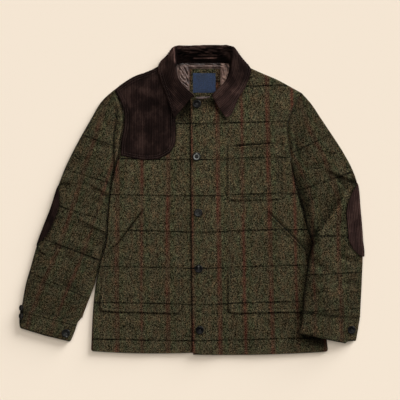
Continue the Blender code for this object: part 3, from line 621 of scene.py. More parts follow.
def sleeve_drape(side, x, y):
    """Swells, creases and folds of a sleeve's upper piece, and its head with the turned-in seam."""
    head = away(x, y, OUTLINE["armhole"][side][::2])
    soft = swell(x, y, SLEEVE_SWELLS) - crease_depth(x, y, SLEEVE_CREASES[side])
    soft = soft - fold_depth(x, y, SLEEVE_FOLDS[side])
    welt = 0.0016 * dent(head - 0.0085, 0.0060) - 0.0022 * dent(head, 0.0040)
    return ease(head / 0.03) * soft + welt - 0.0020 * head_groove(side, x, y)


def head_groove(side, x, y):
    """1 in the groove that runs beside the turned-in seam of a sleeve's head."""
    if side == "right":
        return dent(away(x, y, along(HEAD_GROOVE, FINE[::2])), 0.0032) * ease((0.262 - y) / 0.05)
    head = away(x, y, OUTLINE["armhole"][side][::2])
    return dent(head - 0.0170, 0.0040) * ease((y - 0.070) / 0.02) * ease((0.190 - y) / 0.08)


def sleeve_end(side):
    """The lower end of a sleeve, seen from above."""
    inner, outer = sleeve_sections(side, FINE)[:2]
    share = np.linspace(0, 1, 90)[:, None]
    line = inner[-1] + (outer[-1] - inner[-1]) * share
    return line - np.array([0.0, 4 * SEAM_SAG[side]]) * share * (1 - share)


def sleeve_crown(side, x, y):
    """How far a sleeve swells between its edges, its head and its cuff."""
    inner, outer = sleeve_sections(side, FINE)[:2]
    edge = ease(away(x, y, inner[::2]) / 0.026) * ease(away(x, y, outer[::2]) / 0.046)
    head = away(x, y, OUTLINE["armhole"][side][::2])
    end = away(x, y, sleeve_end(side))
    return CROWN * edge * ease(head / 0.05) * ease(end / 0.05)


def sleeve_moved(side, x, y):
    """How far the upper piece of a sleeve lies above or below its plain form."""
    moved = sleeve_crown(side, x, y) + sleeve_drape(side, x, y) - sleeve_hollow(side, x, y)
    return np.maximum(moved, -SINK_MOST)


def sleeve_hollow(side, x, y):
    """How far a sleeve sinks along its inner edge, where it bends."""
    inner = sleeve_sections(side, FINE)[0]
    edge = away(x, y, inner[::2])
    if side == "right":
        bent = 0.0034 * ease((0.095 - y) / 0.04) * ease((y + 0.235) / 0.05)
        return bent * (1 - ease((edge - 0.002) / 0.014))
    bent = 0.0050 * ease((0.075 - y) / 0.07) * ease((y + 0.116) / 0.012)
    return bent * (1 - ease((edge - 0.003) / 0.018))


def tube_faces(side, edges, shares, spots, height, wall, low_of, sag_of, to_armhole):
    """Outer and inner face of a flattened tube through these spots round it.

    A spot is the edge it is measured from (or None), its distance or share across, its rise and its turn.
    """
    inner_edge, outer_edge, from_inner, from_outer = edges
    radius = height / 2
    start, end = outer_edge + from_outer * radius, inner_edge + from_inner * radius
    faces = np.zeros((2, len(shares), len(spots), 3))
    near = np.clip(1 - shares / 0.3, 0, 1) ** 2
    round_armhole = lengths(OUTLINE["armhole"][side])[-1]
    for k, (edge, value, rise, turn) in enumerate(spots):
        if edge is None:
            across, plan, way = value, start + (end - start) * value, np.zeros_like(start)
        elif edge == "outer":
            across, plan, way = 0.0, outer_edge + from_outer * value, from_outer
        else:
            across, plan, way = 1.0, inner_edge + from_inner * value, from_inner
        if to_armhole:
            up = {None: 1 - value, "outer": 1 - value / round_armhole, "inner": value / round_armhole}[edge]
            target = along(ARMHOLE[side], [up])[0]
            target[0] += -ARMHOLE_GAP if side == "right" else ARMHOLE_GAP
            plan = plan + near[:, None] * (target - plan[0])[None, :]
        sag = sag_of(shares) * 4 * across * (1 - across)
        plan = plan - np.stack([np.zeros(len(shares)), sag], axis=1)
        low = low_of(plan[:, 0], plan[:, 1])
        faces[0, :, k, :2] = plan
        faces[1, :, k, :2] = plan + way * wall * math.cos(turn)
        faces[0, :, k, 2] = low + radius + rise
        faces[1, :, k, 2] = low + radius + rise - wall * math.sin(turn)
    return faces


def sleeve_faces(side, upper):
    shares = np.linspace(0, 1, 180 if upper else 70)
    columns = list(zip(*roll_columns(SLEEVE_HEIGHT)))
    sign = 1 if upper else -1
    level = sign * SLEEVE_HEIGHT / 2
    spots = [("outer", d, sign * rise, sign * turn) for d, rise, turn in columns]
    spots += [(None, s, level, sign * math.pi / 2) for s in np.linspace(0.03, 0.97, 62 if upper else 22)]
    spots += [("inner", d, sign * rise, sign * turn) for d, rise, turn in columns[::-1]]
    faces = tube_faces(
        side, sleeve_sections(side, shares), shares, spots, SLEEVE_HEIGHT, WALL,
        lambda x, y: sleeve_lift(side, x, y, shares),
        lambda s: SEAM_SAG[side] * ease((s - 0.8) / 0.2), True,
    )
    if upper:
        loose = np.array([max(0.0, spot[2]) / (SLEEVE_HEIGHT / 2) for spot in spots])
        faces[..., 2] += loose * sleeve_moved(side, *xy(faces[0]))
    return faces[0], faces[1]


def cuff_corners(side, edges, shares, spots, radius):
    """How far the corners and the hem of a cuff lie from its plain form, seen from above."""
    inner, outer = edges[:2]
    wide = np.linalg.norm(inner[-1] - outer[-1])
    across = np.array([{"outer": 0.0, "inner": 1.0}.get(edge, value) for edge, value, _, _ in spots])
    flat = radius + across * (wide - 2 * radius)
    reach = (
        np.array([value if edge == "outer" else f for (edge, value, _, _), f in zip(spots, flat)]),
        np.array([value if edge == "inner" else wide - f for (edge, value, _, _), f in zip(spots, flat)]),
    )
    down = shares[:, None]
    moved = np.zeros((len(shares), len(spots), 2))
    moved[..., 1] -= down * np.interp(across, *zip(*CUFF_HANG[side]))
    place, fade, far, pull_x, pull_y = CUFF_PULL[side]
    pull = np.clip(1 - np.abs(down - place) / fade, 0.0, 1.0) * (1 - ease(reach[1] / far))
    moved += pull[..., None] * np.array([pull_x, pull_y])
    for edge, from_edge, size in zip((outer, inner), reach, CUFF_ROUND[side]):
        up = (edge[0] - edge[-1]) / np.linalg.norm(edge[0] - edge[-1])
        cut = size - np.sqrt(size**2 - np.maximum(size - from_edge, 0.0) ** 2)
        moved += (cut * ease((down - 0.6) / 0.4))[..., None] * up
    return moved


def cuff_faces(side):
    """A doubled band wrapped round the end of the sleeve, its ends meeting on the underside."""
    shares = np.linspace(0, 1, 26)
    height = SLEEVE_HEIGHT + 2 * CUFF_GROW
    radius = height / 2
    turns = np.radians(np.linspace(-90, 90, 15))
    under = -math.pi / 2
    spots = [(None, s, -radius, under) for s in np.linspace(CUFF_SLIT + 0.008, 0.9, 16)]
    spots += [("inner", radius * (1 - math.cos(t)), radius * math.sin(t), t) for t in turns]
    spots += [(None, s, radius, -under) for s in np.linspace(0.97, 0.03, 100)]
    spots += [("outer", radius * (1 - math.cos(t)), radius * math.sin(t), t) for t in turns[::-1]]
    spots += [(None, s, -radius, under) for s in np.linspace(0.04, CUFF_SLIT - 0.008, 4)]
    edges = sections(CUFF[side], shares)
    faces = tube_faces(
        side, edges, shares, spots, height, CUFF_WALL,
        lambda x, y: sleeve_lift(side, x, y, np.ones(len(shares))) - CUFF_GROW,
        lambda s: SEAM_SAG[side] * (1 - s), False,
    )
    faces[..., :2] += cuff_corners(side, edges, shares, spots, radius)
    top = slice(31, 131)
    x, y = faces[0, :, top, 0], faces[0, :, top, 1]
    faces[0, :, top, 2] -= crease_depth(x, y, CUFF_CREASES[side]) - 0.5 * swell(x, y, SLEEVE_SWELLS)
    edge = np.minimum(shares, 1 - shares)[:, None] * CUFF_LONG
    faces += (faces.mean(axis=0) - faces) * 0.30 * dent(edge, 0.0016)[..., None]
    return faces[0], faces[1]


WALE = 0.0042  # from one rib of the corduroy to the next
RIB_STEP = WALE / 6
RIB_DEEP = 0.00070


def groove(across):
    """How deep the corduroy is between its ribs."""
    off = np.abs((across / WALE) % 1.0 - 0.5)
    return RIB_DEEP * dent(0.5 - off, 0.20)


STITCH_ROWS = (0.0048, 0.0098)  # of the double stitching, in from an edge


def stitched_in(edge, rows=STITCH_ROWS, deep=0.00045):
    """How far rows of stitches pull the cloth in, by its distance from the edge."""
    return sum(deep * dent(edge - row, 0.0009) for row in rows)


def rounded_edge(edge, high):
    """How far a cut edge turns down."""
    return high * dent(edge, 0.0013)


def unit(rows):
    return rows / np.maximum(np.linalg.norm(rows, axis=-1), 1e-12)[..., None]


def curve_between(start, from_start, into_end, end, shares):
    t = np.asarray(shares)[None, :, None]
    a, b, c, d = (p[:, None, :] for p in (start, from_start, into_end, end))
    return (1 - t) ** 3 * a + 3 * (1 - t) ** 2 * t * b + 3 * (1 - t) * t**2 * c + t**3 * d


STAND_POINTS = 24


def collar_form():
    """The folded collar without its ribs: places, ways out of the cloth, both from the neck seam outwards."""
    right = along(COLLAR, np.linspace(0, 1, 72))
    left = along(COLLAR_LEFT, np.linspace(1, 0, 72))[1:]
    rows = np.concatenate([right, left])
    seam, roll, edge = rows[:, 0:3], rows[:, 3:6], rows[:, 6:9]
    out = unit(roll - (seam + edge) / 2)
    over = edge - seam
    over = unit(over - np.sum(over * out, axis=1)[:, None] * out)
    turn = np.minimum(0.35 * np.linalg.norm(roll - seam, axis=1)[:, None], 0.010)
    shares = np.linspace(0, 1, STAND_POINTS)
    up = curve_between(seam, seam + (roll - seam) * 0.3, roll - over * turn, roll, shares)
    shares = np.linspace(0, 1, 48)[1:]
    down = curve_between(roll, roll + over * turn, edge + (roll - edge) * 0.3, edge, shares)
    front_end = np.clip((np.arange(len(rows)) - len(rows) + 12) / 12, 0, 1)[:, None]
    bow = LEAF_BOW * front_end * 4 * shares * (1 - shares)
    down[..., :2] -= bow[..., None] * LEAF_WAY
    form = np.concatenate([up, down], axis=1)
    way = unit(np.cross(np.gradient(form, axis=1), np.gradient(form, axis=0)))
    if way[len(way) // 2, STAND_POINTS, 2] < 0:
        way = -way
    return form, way


# Painted highlights on the collar's stand: from x, from y, to x, to y, half width, how light
STAND_PAINTED_LIGHT = marks((
    (24.4, 379.4, 33.1, 378.9, 2.2, 2.4), (43.1, 374.4, 61, 371.2, 2.4, 2),
    (35.6, 368.1, 50, 366, 1.6, 1.8), (9, 376, 22, 373.5, 1.8, 1.5), (-4.4, 368.1, 13, 366.9, 2, 1),
    (15.6, 361.1, 62, 360.4, 1.4, 1.6), (5.6, 353.9, 61, 354.4, 1.5, 3.6),
    (75.6, 374.4, 93.1, 356, 5.6, 0.8), (-34.4, 378.1, -6, 375.6, 3.4, 1), (-20, 371, -9, 370, 1.4, 0.9),
    (3.1, 381.4, 85.6, 381.9, 1.6, 0.9), (64, 379, 76, 377, 2, 1.5), (-35, 383.6, 50, 383.8, 2.6, 1.6),
    (-2, 379, 6, 377.5, 3, 2.6),
))


def stand_wrinkle(row, up):
    """Uneven wrinkles that run along the collar's stand at the back neck, from -1 to 1."""
    wave = np.sin(up * 690 + 3.1 * math.sin(row * 0.17 + 0.6) + 1.3 * math.sin(row * 0.53 + 1.0))
    return wave * np.clip(0.45 + 0.9 * np.sin(row * 0.31 + up * 380 + 2.0) * math.sin(row * 0.12 + 1.2), 0, 1)


def collar_faces():
    """The ribbed collar: outer face, inner face, grain, painted light and shade; its ribs run along it,
    beside the roll line.
    """
    form, way = collar_form()
    gone = np.array([lengths(row) for row in form])
    roll = gone[:, STAND_POINTS - 1]
    span = np.arange(-math.ceil(roll.max() / RIB_STEP), math.ceil((gone[:, -1] - roll).max() / RIB_STEP) + 1)
    ends = np.concatenate([form[0], form[-1]])
    along_it = lengths(form[:, STAND_POINTS - 1])
    outer, inner, grain, painted_light = [], [], [], []
    for row in range(len(form)):
        want = np.clip(roll[row] + span * RIB_STEP, 0, gone[row, -1])
        past_roll = want - roll[row]
        spot, out = between(want, gone[row], form[row]), unit(between(want, gone[row], way[row]))
        x, y = xy(spot)
        to_end = np.min(np.linalg.norm(spot[:, None] - ends[None], axis=2), axis=1)
        nearest = np.minimum(gone[row, -1] - want, to_end)
        back = ease((46 - abs(row - 71)) / 14)
        wrinkle = stand_wrinkle(row, want) * back
        deep = groove(past_roll) + stitched_in(nearest) + rounded_edge(nearest, 0.0008) + 0.0007 * wrinkle
        outer.append(spot - out * deep[:, None])
        inner.append(spot - out * (COLLAR_WALL - rounded_edge(nearest, 0.0006))[:, None])
        grain.append(np.c_[past_roll, np.full(len(want), along_it[row])])
        # What follows is painted shading: painted shade on the back stand, at the edges and between the
        # stitch rows; painted light along the stitch rows, in strokes on the stand and at the roll's rim; the
        # leaves lighter or darker row by row as painted light and shade
        leaf = ease((past_roll + 0.003) / 0.008)
        light = 0.50 - 0.62 * ease((row - 88) / 8) + 1.60 * ease((row - 117) / 12)
        light = light + 0.45 * dent((row - 46) / 13, 1.0) - 0.45 * ease((30 - row) / 16)
        light = light + 0.45 * sum(dent(nearest - at, 0.0011) for at in STITCH_ROWS)
        dark = 0.35 * dent(nearest - sum(STITCH_ROWS) / 2, 0.0014) + 0.35 * dent(nearest, 0.0016)
        stand_painted_shade = 0.80 + 0.6 * wrinkle * ease((want - 0.012) / 0.016)
        stand_painted_shade = stand_painted_shade - sum(1.5 * strong * stroke(x, y, *line) for *line, strong in STAND_PAINTED_LIGHT)
        rim = dent(past_roll - 0.0010, 0.0026) * ease((y - 0.338) / 0.008) * ease((-0.034 - x) / 0.004)
        painted_light.append((back * stand_painted_shade + (1 - back) * 0.38) * (1 - leaf) + leaf * (dark - light) - 6.0 * rim)
    return tuple(np.array(rows) for rows in (outer, inner, grain, painted_light))


def pad_rows():
    """Plan of the shoulder pad as rows from its lower edge to the shoulder."""
    near = np.array([0, 0.9, 1.8, 2.8, 3.8, 4.8, 5.8, 6.8, 7.8, 8.8, 9.8, 10.8, 12.5]) / 205
    v = np.concatenate([near, np.linspace(0.08, 0.92, 60), 1 - near[::-1]])
    u = np.linspace(0, 1, 161)
    armhole, front = along(PAD_ARMHOLE, v), along(PAD_FRONT, v)
    lower, shoulder = along(PAD_LOWER, u), along(PAD_SHOULDER, u)
    a, b = u[None, :, None], v[:, None, None]
    spot = (1 - a) * armhole[:, None] + a * front[:, None] + (1 - b) * lower[None] + b * shoulder[None]
    spot = spot - (1 - a) * (1 - b) * armhole[0] - a * (1 - b) * front[0]
    return spot - (1 - a) * b * armhole[-1] - a * b * front[-1]


def pad_outline():
    shares = np.linspace(0, 1, 160)
    return np.concatenate([
        along(PAD_LOWER, shares), along(PAD_FRONT, shares)[1:], along(PAD_SHOULDER, shares)[::-1][1:],
        along(PAD_ARMHOLE, shares)[::-1][1:-1],
    ])


def shoulder_fall(x, y):
    """How far the right front falls away in the round of its shoulder."""
    radius = BODY_HEIGHT / 2
    inside = np.clip(1 - away(x, y, OUTLINE["shoulder"]["right"]) / radius, 0, 1)
    return radius * (1 - np.sqrt(1 - inside**2))


def pad_faces():
    """The ribbed shoulder pad, laid on the right front; its ribs run up and down."""
    rows = pad_rows()
    span = np.arange(rows[..., 0].min(), rows[..., 0].max() + RIB_STEP, RIB_STEP)
    x = np.array([np.clip(span, row[0, 0], row[-1, 0]) for row in rows])
    y = np.array([np.interp(at, row[:, 0], row[:, 1]) for at, row in zip(x, rows)])
    edge = away(x, y, pad_outline())
    base = body_height("right", x, y) + LIE - shoulder_fall(x, y)
    deep = groove(x) + stitched_in(edge) + rounded_edge(edge, 0.0008)
    puff = 0.0006 * ease(edge / 0.03)
    return *laid(x, y, base + CORD_WALL + puff - deep, base), np.stack([x, y], axis=-1)


def elbow_faces(side):
    """A ribbed patch wrapped round the outer edge of a sleeve: outer face, inner face, grain."""
    middle, half_length, middle_round, half_round, skew, stand_off = ELBOW[side]
    outer, from_outer = sections(SLEEVE[side], FINE)[1::2]
    gone = lengths(outer)
    radius = SLEEVE_HEIGHT / 2
    quarter = radius * math.pi / 2
    stops = np.arange(middle_round - half_round, middle_round + half_round, RIB_STEP)
    t = np.sin(np.linspace(-math.pi / 2, math.pi / 2, 61))
    shape = (len(t), len(stops))
    reach = half_length * np.sqrt(1 - 0.9 * ((stops - middle_round) / half_round) ** 2)
    turn = np.broadcast_to(np.clip(stops / radius, -math.pi / 2, math.pi / 2), shape)
    distance = radius * (1 - np.cos(turn)) + np.maximum(0.0, np.abs(stops) - quarter)
    place = middle * gone[-1] + t[:, None] * reach + skew * stops
    share = np.interp(place, gone, FINE)
    inward = unit(between(share, FINE, from_outer))
    plan = between(share, FINE, outer) + inward * distance[..., None]
    high = sleeve_lift(side, *xy(plan), share) + radius * (1 + np.sin(turn))
    high = high + np.clip(np.sin(turn), 0, 1) * sleeve_moved(side, *xy(plan))
    base = np.concatenate([plan, high[..., None]], axis=-1)
    out = np.concatenate([-inward * np.cos(turn)[..., None], np.sin(turn)[..., None]], axis=-1)
    base[..., :2] -= inward * (stand_off * ease((t[:, None] - 0.5) / 0.4) * np.cos(turn))[..., None]
    to_sides = np.minimum(stops - stops[0], stops[-1] - stops)
    edge = np.minimum(reach * (1 - np.abs(t))[:, None], to_sides)
    deep = groove(stops) + stitched_in(edge, (0.0030,), 0.00035) + rounded_edge(edge, 0.0006)
    face = base + out * (ELBOW_LIE + PATCH_WALL - deep)[..., None]
    grain = np.stack([np.broadcast_to(stops, shape), place], axis=-1)
    return face, base + out * ELBOW_LIE, grain


def pocket_faces(name):
    """A patch pocket with rounded lower corners, laid on its front."""
    x, y, outline = pocket_plan(name)
    edge = away(x, y, outline)
    to_slit = away(x, y, SLITS[name])
    lift = 0.0016 * dent(to_slit, 0.0060)
    base = body_height(FRONT_OF[name], x, y) + LIE
    stands = np.maximum(pocket_stands(name, y), dent(to_slit, 0.012))
    wall = CORD_WALL - (1 - stands) * 0.0015 * (1 - ease(edge / 0.016))
    face = base + wall + lift + stands * 0.0008 * dent(edge - 0.0030, 0.0036) + pocket_trough(x, y)
    face = face - stands * stitched_in(edge, (POCKET_ROW,), 0.0007) - stands * rounded_edge(edge, 0.0009)
    return laid(x, y, face, base + np.minimum(lift, 0.0010))


# How wide the pockets' openings gape
MOUTH = {"chest_pocket": 0.0030, "hip_pocket_right": 0.0024, "hip_pocket_left": 0.0036}


def mouth_faces(name):
    """A near-black strip laid in a pocket's opening as painted shadow."""
    slit = SLITS[name]
    run = unit(np.gradient(slit, axis=0))
    way = np.stack([-run[:, 1], run[:, 0]], axis=1)
    way = way * np.sign(way[:, 1])[:, None]
    wide = MOUTH[name] * np.sin(np.linspace(0.12, math.pi - 0.12, len(slit))) ** 0.5
    plan = slit[:, None] + way[:, None] * (np.linspace(-0.35, 0.65, 6) * wide[:, None])[..., None]
    low = body_height(FRONT_OF[name], *xy(plan)) + 0.0001
    return laid(*xy(plan), low + 0.0003, low)


def neck_facing_faces():
    """The satin facing on the inside of the collar's right half."""
    form, way = collar_form()
    rows = []
    for k in range(1, 32):
        gone = lengths(form[k, :STAND_POINTS])
        wide = 0.62 - 0.56 * ease((k - 5) / 26)
        at = gone[-1] * np.linspace(0.98 - 0.90 * wide, 0.98, 9)
        rows.append([between(at, gone, of[k, :STAND_POINTS]) for of in (form, way)])
    spots, out = np.array(rows).transpose(1, 0, 2, 3)
    return spots + unit(out) * 0.0007, spots + unit(out) * 0.0002


def front_facing_faces():
    """The narrow satin band along the neckline of the over front."""
    x = np.linspace(0.0100, 0.0452, 40)
    top = np.interp(x, [-0.0025, 0.0480], [0.2560, 0.2590]) - 0.0004
    wide = np.sin(np.linspace(0.4, 2.9, 40)) ** 0.5
    y = top[:, None] - np.linspace(0.0, 0.0052, 7) * wide[:, None]
    x = np.broadcast_to(x[:, None], y.shape)
    low = body_height("left", x, y) + 0.0002
    return laid(x, y, low + 0.0004 + 0.0005 * np.sin(np.linspace(0, math.pi, 7)), low)


def lining_faces():
    """The quilted lining that shows in the neck."""
    low_x, low_y, high_x, high_y = NECK_LINING
    x, y = np.meshgrid(np.linspace(low_x, high_x, 200), np.linspace(low_y, high_y, 132))
    cell = 0.019
    across = np.abs(np.sin(math.pi * (x + y) / cell)) * np.abs(np.sin(math.pi * (x - y) / cell))
    puff = 0.0011 * np.sqrt(across)
    patch_left, patch_low, patch_right, patch_high = LABEL_PATCH
    bare = np.max([patch_left - x, x - patch_right, patch_low - y, y - patch_high], axis=0)
    free = ease((bare - 0.0005) / 0.004)
    rim = ease((y - 0.262) / 0.010) * ease((high_y - y) / 0.004)
    rim = rim * ease((x + 0.036) / 0.008) * ease((0.095 - x) / 0.008)
    up = np.maximum(0.0, puff + 0.0022 - crease_depth(x, y, LINING_CREASES)) * free * rim
    return laid(x, y, WALL + LIE + LINING_WALL + up, WALL + LIE)


def flat_faces(box, low, wall, step, lift=0.0):
    """A small flat piece with rounded edges and a slight swell."""
    low_x, low_y, high_x, high_y = box
    x, y = np.meshgrid(
        np.linspace(low_x, high_x, round((high_x - low_x) / step)),
        np.linspace(low_y, high_y, round((high_y - low_y) / step)))
    edge = np.min([x - low_x, high_x - x, y - low_y, high_y - y], axis=0)
    up = lift * ease(edge / 0.02) - rounded_edge(edge, 0.4 * wall) - stitched_in(edge, (0.0016,), 0.0002)
    return laid(x, y, low + wall + up, low)


# Painted shading of the cloth: painted shade from 0 to 1, painted light where negative
COLLAR_EDGE = collar_form()[0][:, -1, :2]
# Painted shade strokes on the fronts, painted light where the share is negative: from x, y, to x, y, half
# width, share
FRONT_PAINTED_STROKES = marks({
    "right": (
        (-7, 248, -26, 213, 17.5, 0.97), (-4.2, 230, 1.6, -378, 3, 0.72), (-28, -30, -70, -48, 6, 0.15),
    ),
    "left": (
        (285, -344, 324, -356, 17, 0.95), (274, -270, 275, -340, 8, 0.45),
        (53.1, 244.4, 82, 202, 6.2, 0.75), (10.6, 248, 50, 243, 15, 0.78),
        (234.4, 191.9, 236.9, 106.9, 2.6, -0.22), (172, 100, 172, 56, 4, 0.26), (130, 8, 190, 10, 6, 0.16),
        (101, 90, 170, 108, 6, 0.12), (215, 112, 230, 25, 9, 0.16),
    ),
})
# How much painted shade lies below a pocket and beside it
POCKET_PAINTED_SHADE = {
    "chest_pocket": (0.40, 0.55), "hip_pocket_right": (0.80, 0.15), "hip_pocket_left": (0.95, 0.45),
}
# Painted shade at the armholes' seams, painted light beside them
HEAD_PAINTED_SHADE = {"right": 0.85, "left": 0.14}  # at the armholes' seams
WELT_PAINTED_LIGHT = {"right": 0.32, "left": 0.10}  # beside those seams


def darkest(shares):
    """Shares of painted shade laid over each other."""
    light = np.ones(np.shape(shares[0]))
    for share in shares:
        light = light * (1 - share)
    return 1 - light


def stroke(x, y, from_x, from_y, to_x, to_y, half):
    """1 along a straight line, fading past its half width and its ends."""
    run = np.array([to_x - from_x, to_y - from_y])
    gone = np.clip(((x - from_x) * run[0] + (y - from_y) * run[1]) / np.sum(run**2), 0, 1)
    return dent(np.hypot(x - from_x - gone * run[0], y - from_y - gone * run[1]), half)


def crevice_wide(side, y):
    """How wide the painted shade is on each side of the crevice between the body and a sleeve."""
    if side == "left":
        return 0.0045
    return 0.0026 + 0.0036 * dent(y - 0.064, 0.022) + 0.0012 * dent(y + 0.105, 0.030)


def front_painted_shading(side, x, y):
    """Painted shading of a front: painted shade in its seams, creases, pocket edges, side crevices, under the
    collar's edge and beside the forearm, painted light where a stroke's share is negative.
    """
    edge = np.abs(x - side_x(side, y))
    beside = ease((0.108 - y) / 0.02) * ease((y + (0.225 if side == "right" else 0.115)) / 0.03)
    shares = [
        HEAD_PAINTED_SHADE[side] * dent(away(x, y, OUTLINE["armhole"][side][::3]), 0.0030),
        0.48 * dent(away(x, y, COLLAR_EDGE), 0.0050),
        0.4 * np.clip(crease_depth(x, y, BODY_CREASES) / 0.003, 0, 1),
        beside * 0.98 * (1 - ease((edge - 0.0008) / crevice_wide(side, y))),
    ]
    for name, outline in POCKET_OUTLINE.items():
        if FRONT_OF[name] == side:
            below, beside_it = POCKET_PAINTED_SHADE[name]
            low = 1 - ease((y - POCKET[name][1][0][0] - 0.006) / 0.016)
            shown = (beside_it + (below - beside_it) * low) * pocket_stands(name, y)
            shares.append(shown * dent(away(x, y, outline), 0.0034))
            shares.append(0.75 * dent(away(x, y, SLITS[name]), 0.0042))
    shares += [share * stroke(x, y, *line) for *line, share in FRONT_PAINTED_STROKES[side]]
    if side == "right":
        shares.append(0.50 * dent(away(x, y, pad_outline()[::2]), 0.0028))
    else:
        forearm = sleeve_sections("left", FINE)[0]
        shares.append(0.90 * dent(away(x, y, forearm[forearm[:, 1] < -0.11]), 0.0160))
    return darkest(shares)


def sleeve_painted_shading(side, x, y):
    """Painted shading of a sleeve: painted shade all over, in its folds, along the body, at its edges and
    seams; painted light beside its head seam and on fold ridges.
    """
    inner, outer = sleeve_sections(side, FINE)[:2]
    edge = away(x, y, inner[::2])
    head = away(x, y, OUTLINE["armhole"][side][::2])
    end = away(x, y, sleeve_end(side))
    patch = elbow_rim(side)
    shares = [
        np.full(np.shape(x), 0.10), HEAD_PAINTED_SHADE[side] * dent(head, 0.0032),
        HEAD_PAINTED_SHADE[side] * head_groove(side, x, y),
        -WELT_PAINTED_LIGHT[side] * dent(head - 0.0058, 0.0030), 0.35 * dent(away(x, y, outer[::2]), 0.0030),
        0.4 * np.clip(crease_depth(x, y, SLEEVE_CREASES[side]) / 0.004, 0, 1),
        0.80 * np.clip(fold_depth(x, y, SLEEVE_FOLDS[side]) / 0.0052, -0.4, 1),
        {"right": 0.30, "left": 0.80}[side] * dent(end, 0.0030), 0.85 * dent(away(x, y, patch), 0.0038),
    ]
    if side == "right":
        near = ease((0.108 - y) / 0.02) * ease((y + 0.232) / 0.03)
        shares.append(near * 0.98 * (1 - ease((edge - 0.0008) / crevice_wide(side, y))))
        shares.append(0.30 * near * dent(edge, 0.014))
    else:
        near = (0.5 + 0.5 * ease((0.045 - y) / 0.05)) * ease((0.100 - y) / 0.02) * ease((y + 0.122) / 0.012)
        shares += [near * 0.98 * (1 - ease((edge - 0.0020) / 0.0080)), 0.45 * near * dent(edge, 0.018)]
        shares.append(0.85 * ease((-0.100 - y) / 0.01) * dent(edge, 0.0070))
    return darkest(shares)


def cuff_painted_shade(side, face):
    """Painted shade of a cuff: a little all over, more at its upper edge and along its hem, and beside the
    right cuff's edge buttons.
    """
    share = np.linspace(0, 1, len(face))[:, None] * np.ones(face.shape[1])
    shares = [
        np.full(share.shape, 0.10), {"right": 0.30, "left": 0.75}[side] * dent(share * CUFF_LONG, 0.0026),
        0.60 * dent((1 - share) * CUFF_LONG, 0.0020),
    ]
    if side == "right":
        shares.append(0.97 * stroke(*xy(face), -0.4245, -0.2640, -0.4290, -0.3010, 0.0085))
    return darkest(shares)


def elbow_rim(side):
    """The edge of an elbow patch on the upper side of its sleeve, seen from above."""
    face = elbow_faces(side)[0]
    rim = np.concatenate([face[:, -1], face[0, face.shape[1] // 2:], face[-1, face.shape[1] // 2:]])
    return rim[:, :2]


def pad_painted_shading(x, y):
    """Painted shading of the shoulder pad: painted shade under the collar and at its edge, painted light
    along its stitch rows and in one stroke.
    """
    edge = away(x, y, pad_outline())
    dark = darkest([
        0.50 * dent(away(x, y, COLLAR_EDGE), 0.0080),
        0.40 * stroke(x, y, -0.0950, 0.2480, -0.0700, 0.2380, 0.022),
        0.35 * stroke(x, y, -0.0500, 0.2150, -0.0480, 0.1600, 0.012), 0.50 * dent(edge, 0.0022),
        0.40 * dent(edge - sum(STITCH_ROWS) / 2, 0.0014), 0.35 * dent(edge - 0.0130, 0.0020),
    ])
    light = 0.40 * sum(dent(edge - row, 0.0011) for row in STITCH_ROWS)
    return dark - light - 0.40 * stroke(x, y, -0.1250, 0.2760, -0.0980, 0.2680, 0.014)


def lining_painted_shading(x, y):
    """Painted shading of the lining: painted shade in its creases and at the back neck, painted light beside
    the left leaf.
    """
    creased = np.clip(crease_depth(x, y, LINING_CREASES) / 0.0022, -0.3, 1)
    rim = 0.90 * ease((y - 0.3345) / 0.006) - 1.35 * ease((x - 0.070) / 0.006)
    return darkest([0.62 * creased, rim])


def pocket_painted_shading(name, x, y):
    """Painted shading of a pocket: its front's painted strokes, and painted shade along its opening."""
    return darkest([
        *(share * stroke(x, y, *line) for *line, share in FRONT_PAINTED_STROKES[FRONT_OF[name]]),
        0.45 * dent(away(x, y, SLITS[name]), 0.0030),
    ])


# Warp lines of the cloth: how the check lies on each panel
RED_EVERY = 0.0637
DARK_EVERY = 0.0905
DARK_FROM = 0.0098  # a dark line's height on the fronts
POCKET_SHIFT = np.array([0.0012, -0.0016])
CUFF_SHIFT = 0.004
SLEEVE_GRAIN = mm({
    "right": (
        (-227, 205), (-238, 170), (-265.6, 89.4), (-316.9, -72.1), (-342.6, -140.6), (-375.6, -215.1),
        (-399, -280), (-410, -330),
    ),
    "left": (
        (266, 250), (276, 224.4), (294.1, 175.6), (307.1, 146.9), (334.4, 91.9), (355.6, 34.4),
        (365.6, -13.1), (364.4, -63.1), (365.6, -148.1), (368.1, -205.6), (373.1, -275.6), (376, -340),
    ),
})
# Where dark lines cross that line, by distance from its upper end
SLEEVE_DARK = mm({
    "right": (56, 149, 242, 334.5, 427),
    "left": (113.5, 215, 360, 453.5),
})


def front_grain(side, spots):
    """Checked cloth of the fronts: across the red lines, along them."""
    x, y = xy(spots)
    if side == "left":
        placket = np.interp(y, [-0.385, 0.256], [0.0045, -0.0015])
        spread = 1.0 + 0.020 * (0.064 - y) / 0.27
        across = (x - placket) / spread + RED_EVERY
        up = y - 0.027 * np.maximum(0.0, x - 0.040)
    else:
        across = x + 0.0607
        up = y + 0.020 * np.minimum(0.0, x + 0.045)
    return np.stack([across, up - DARK_FROM], axis=-1)


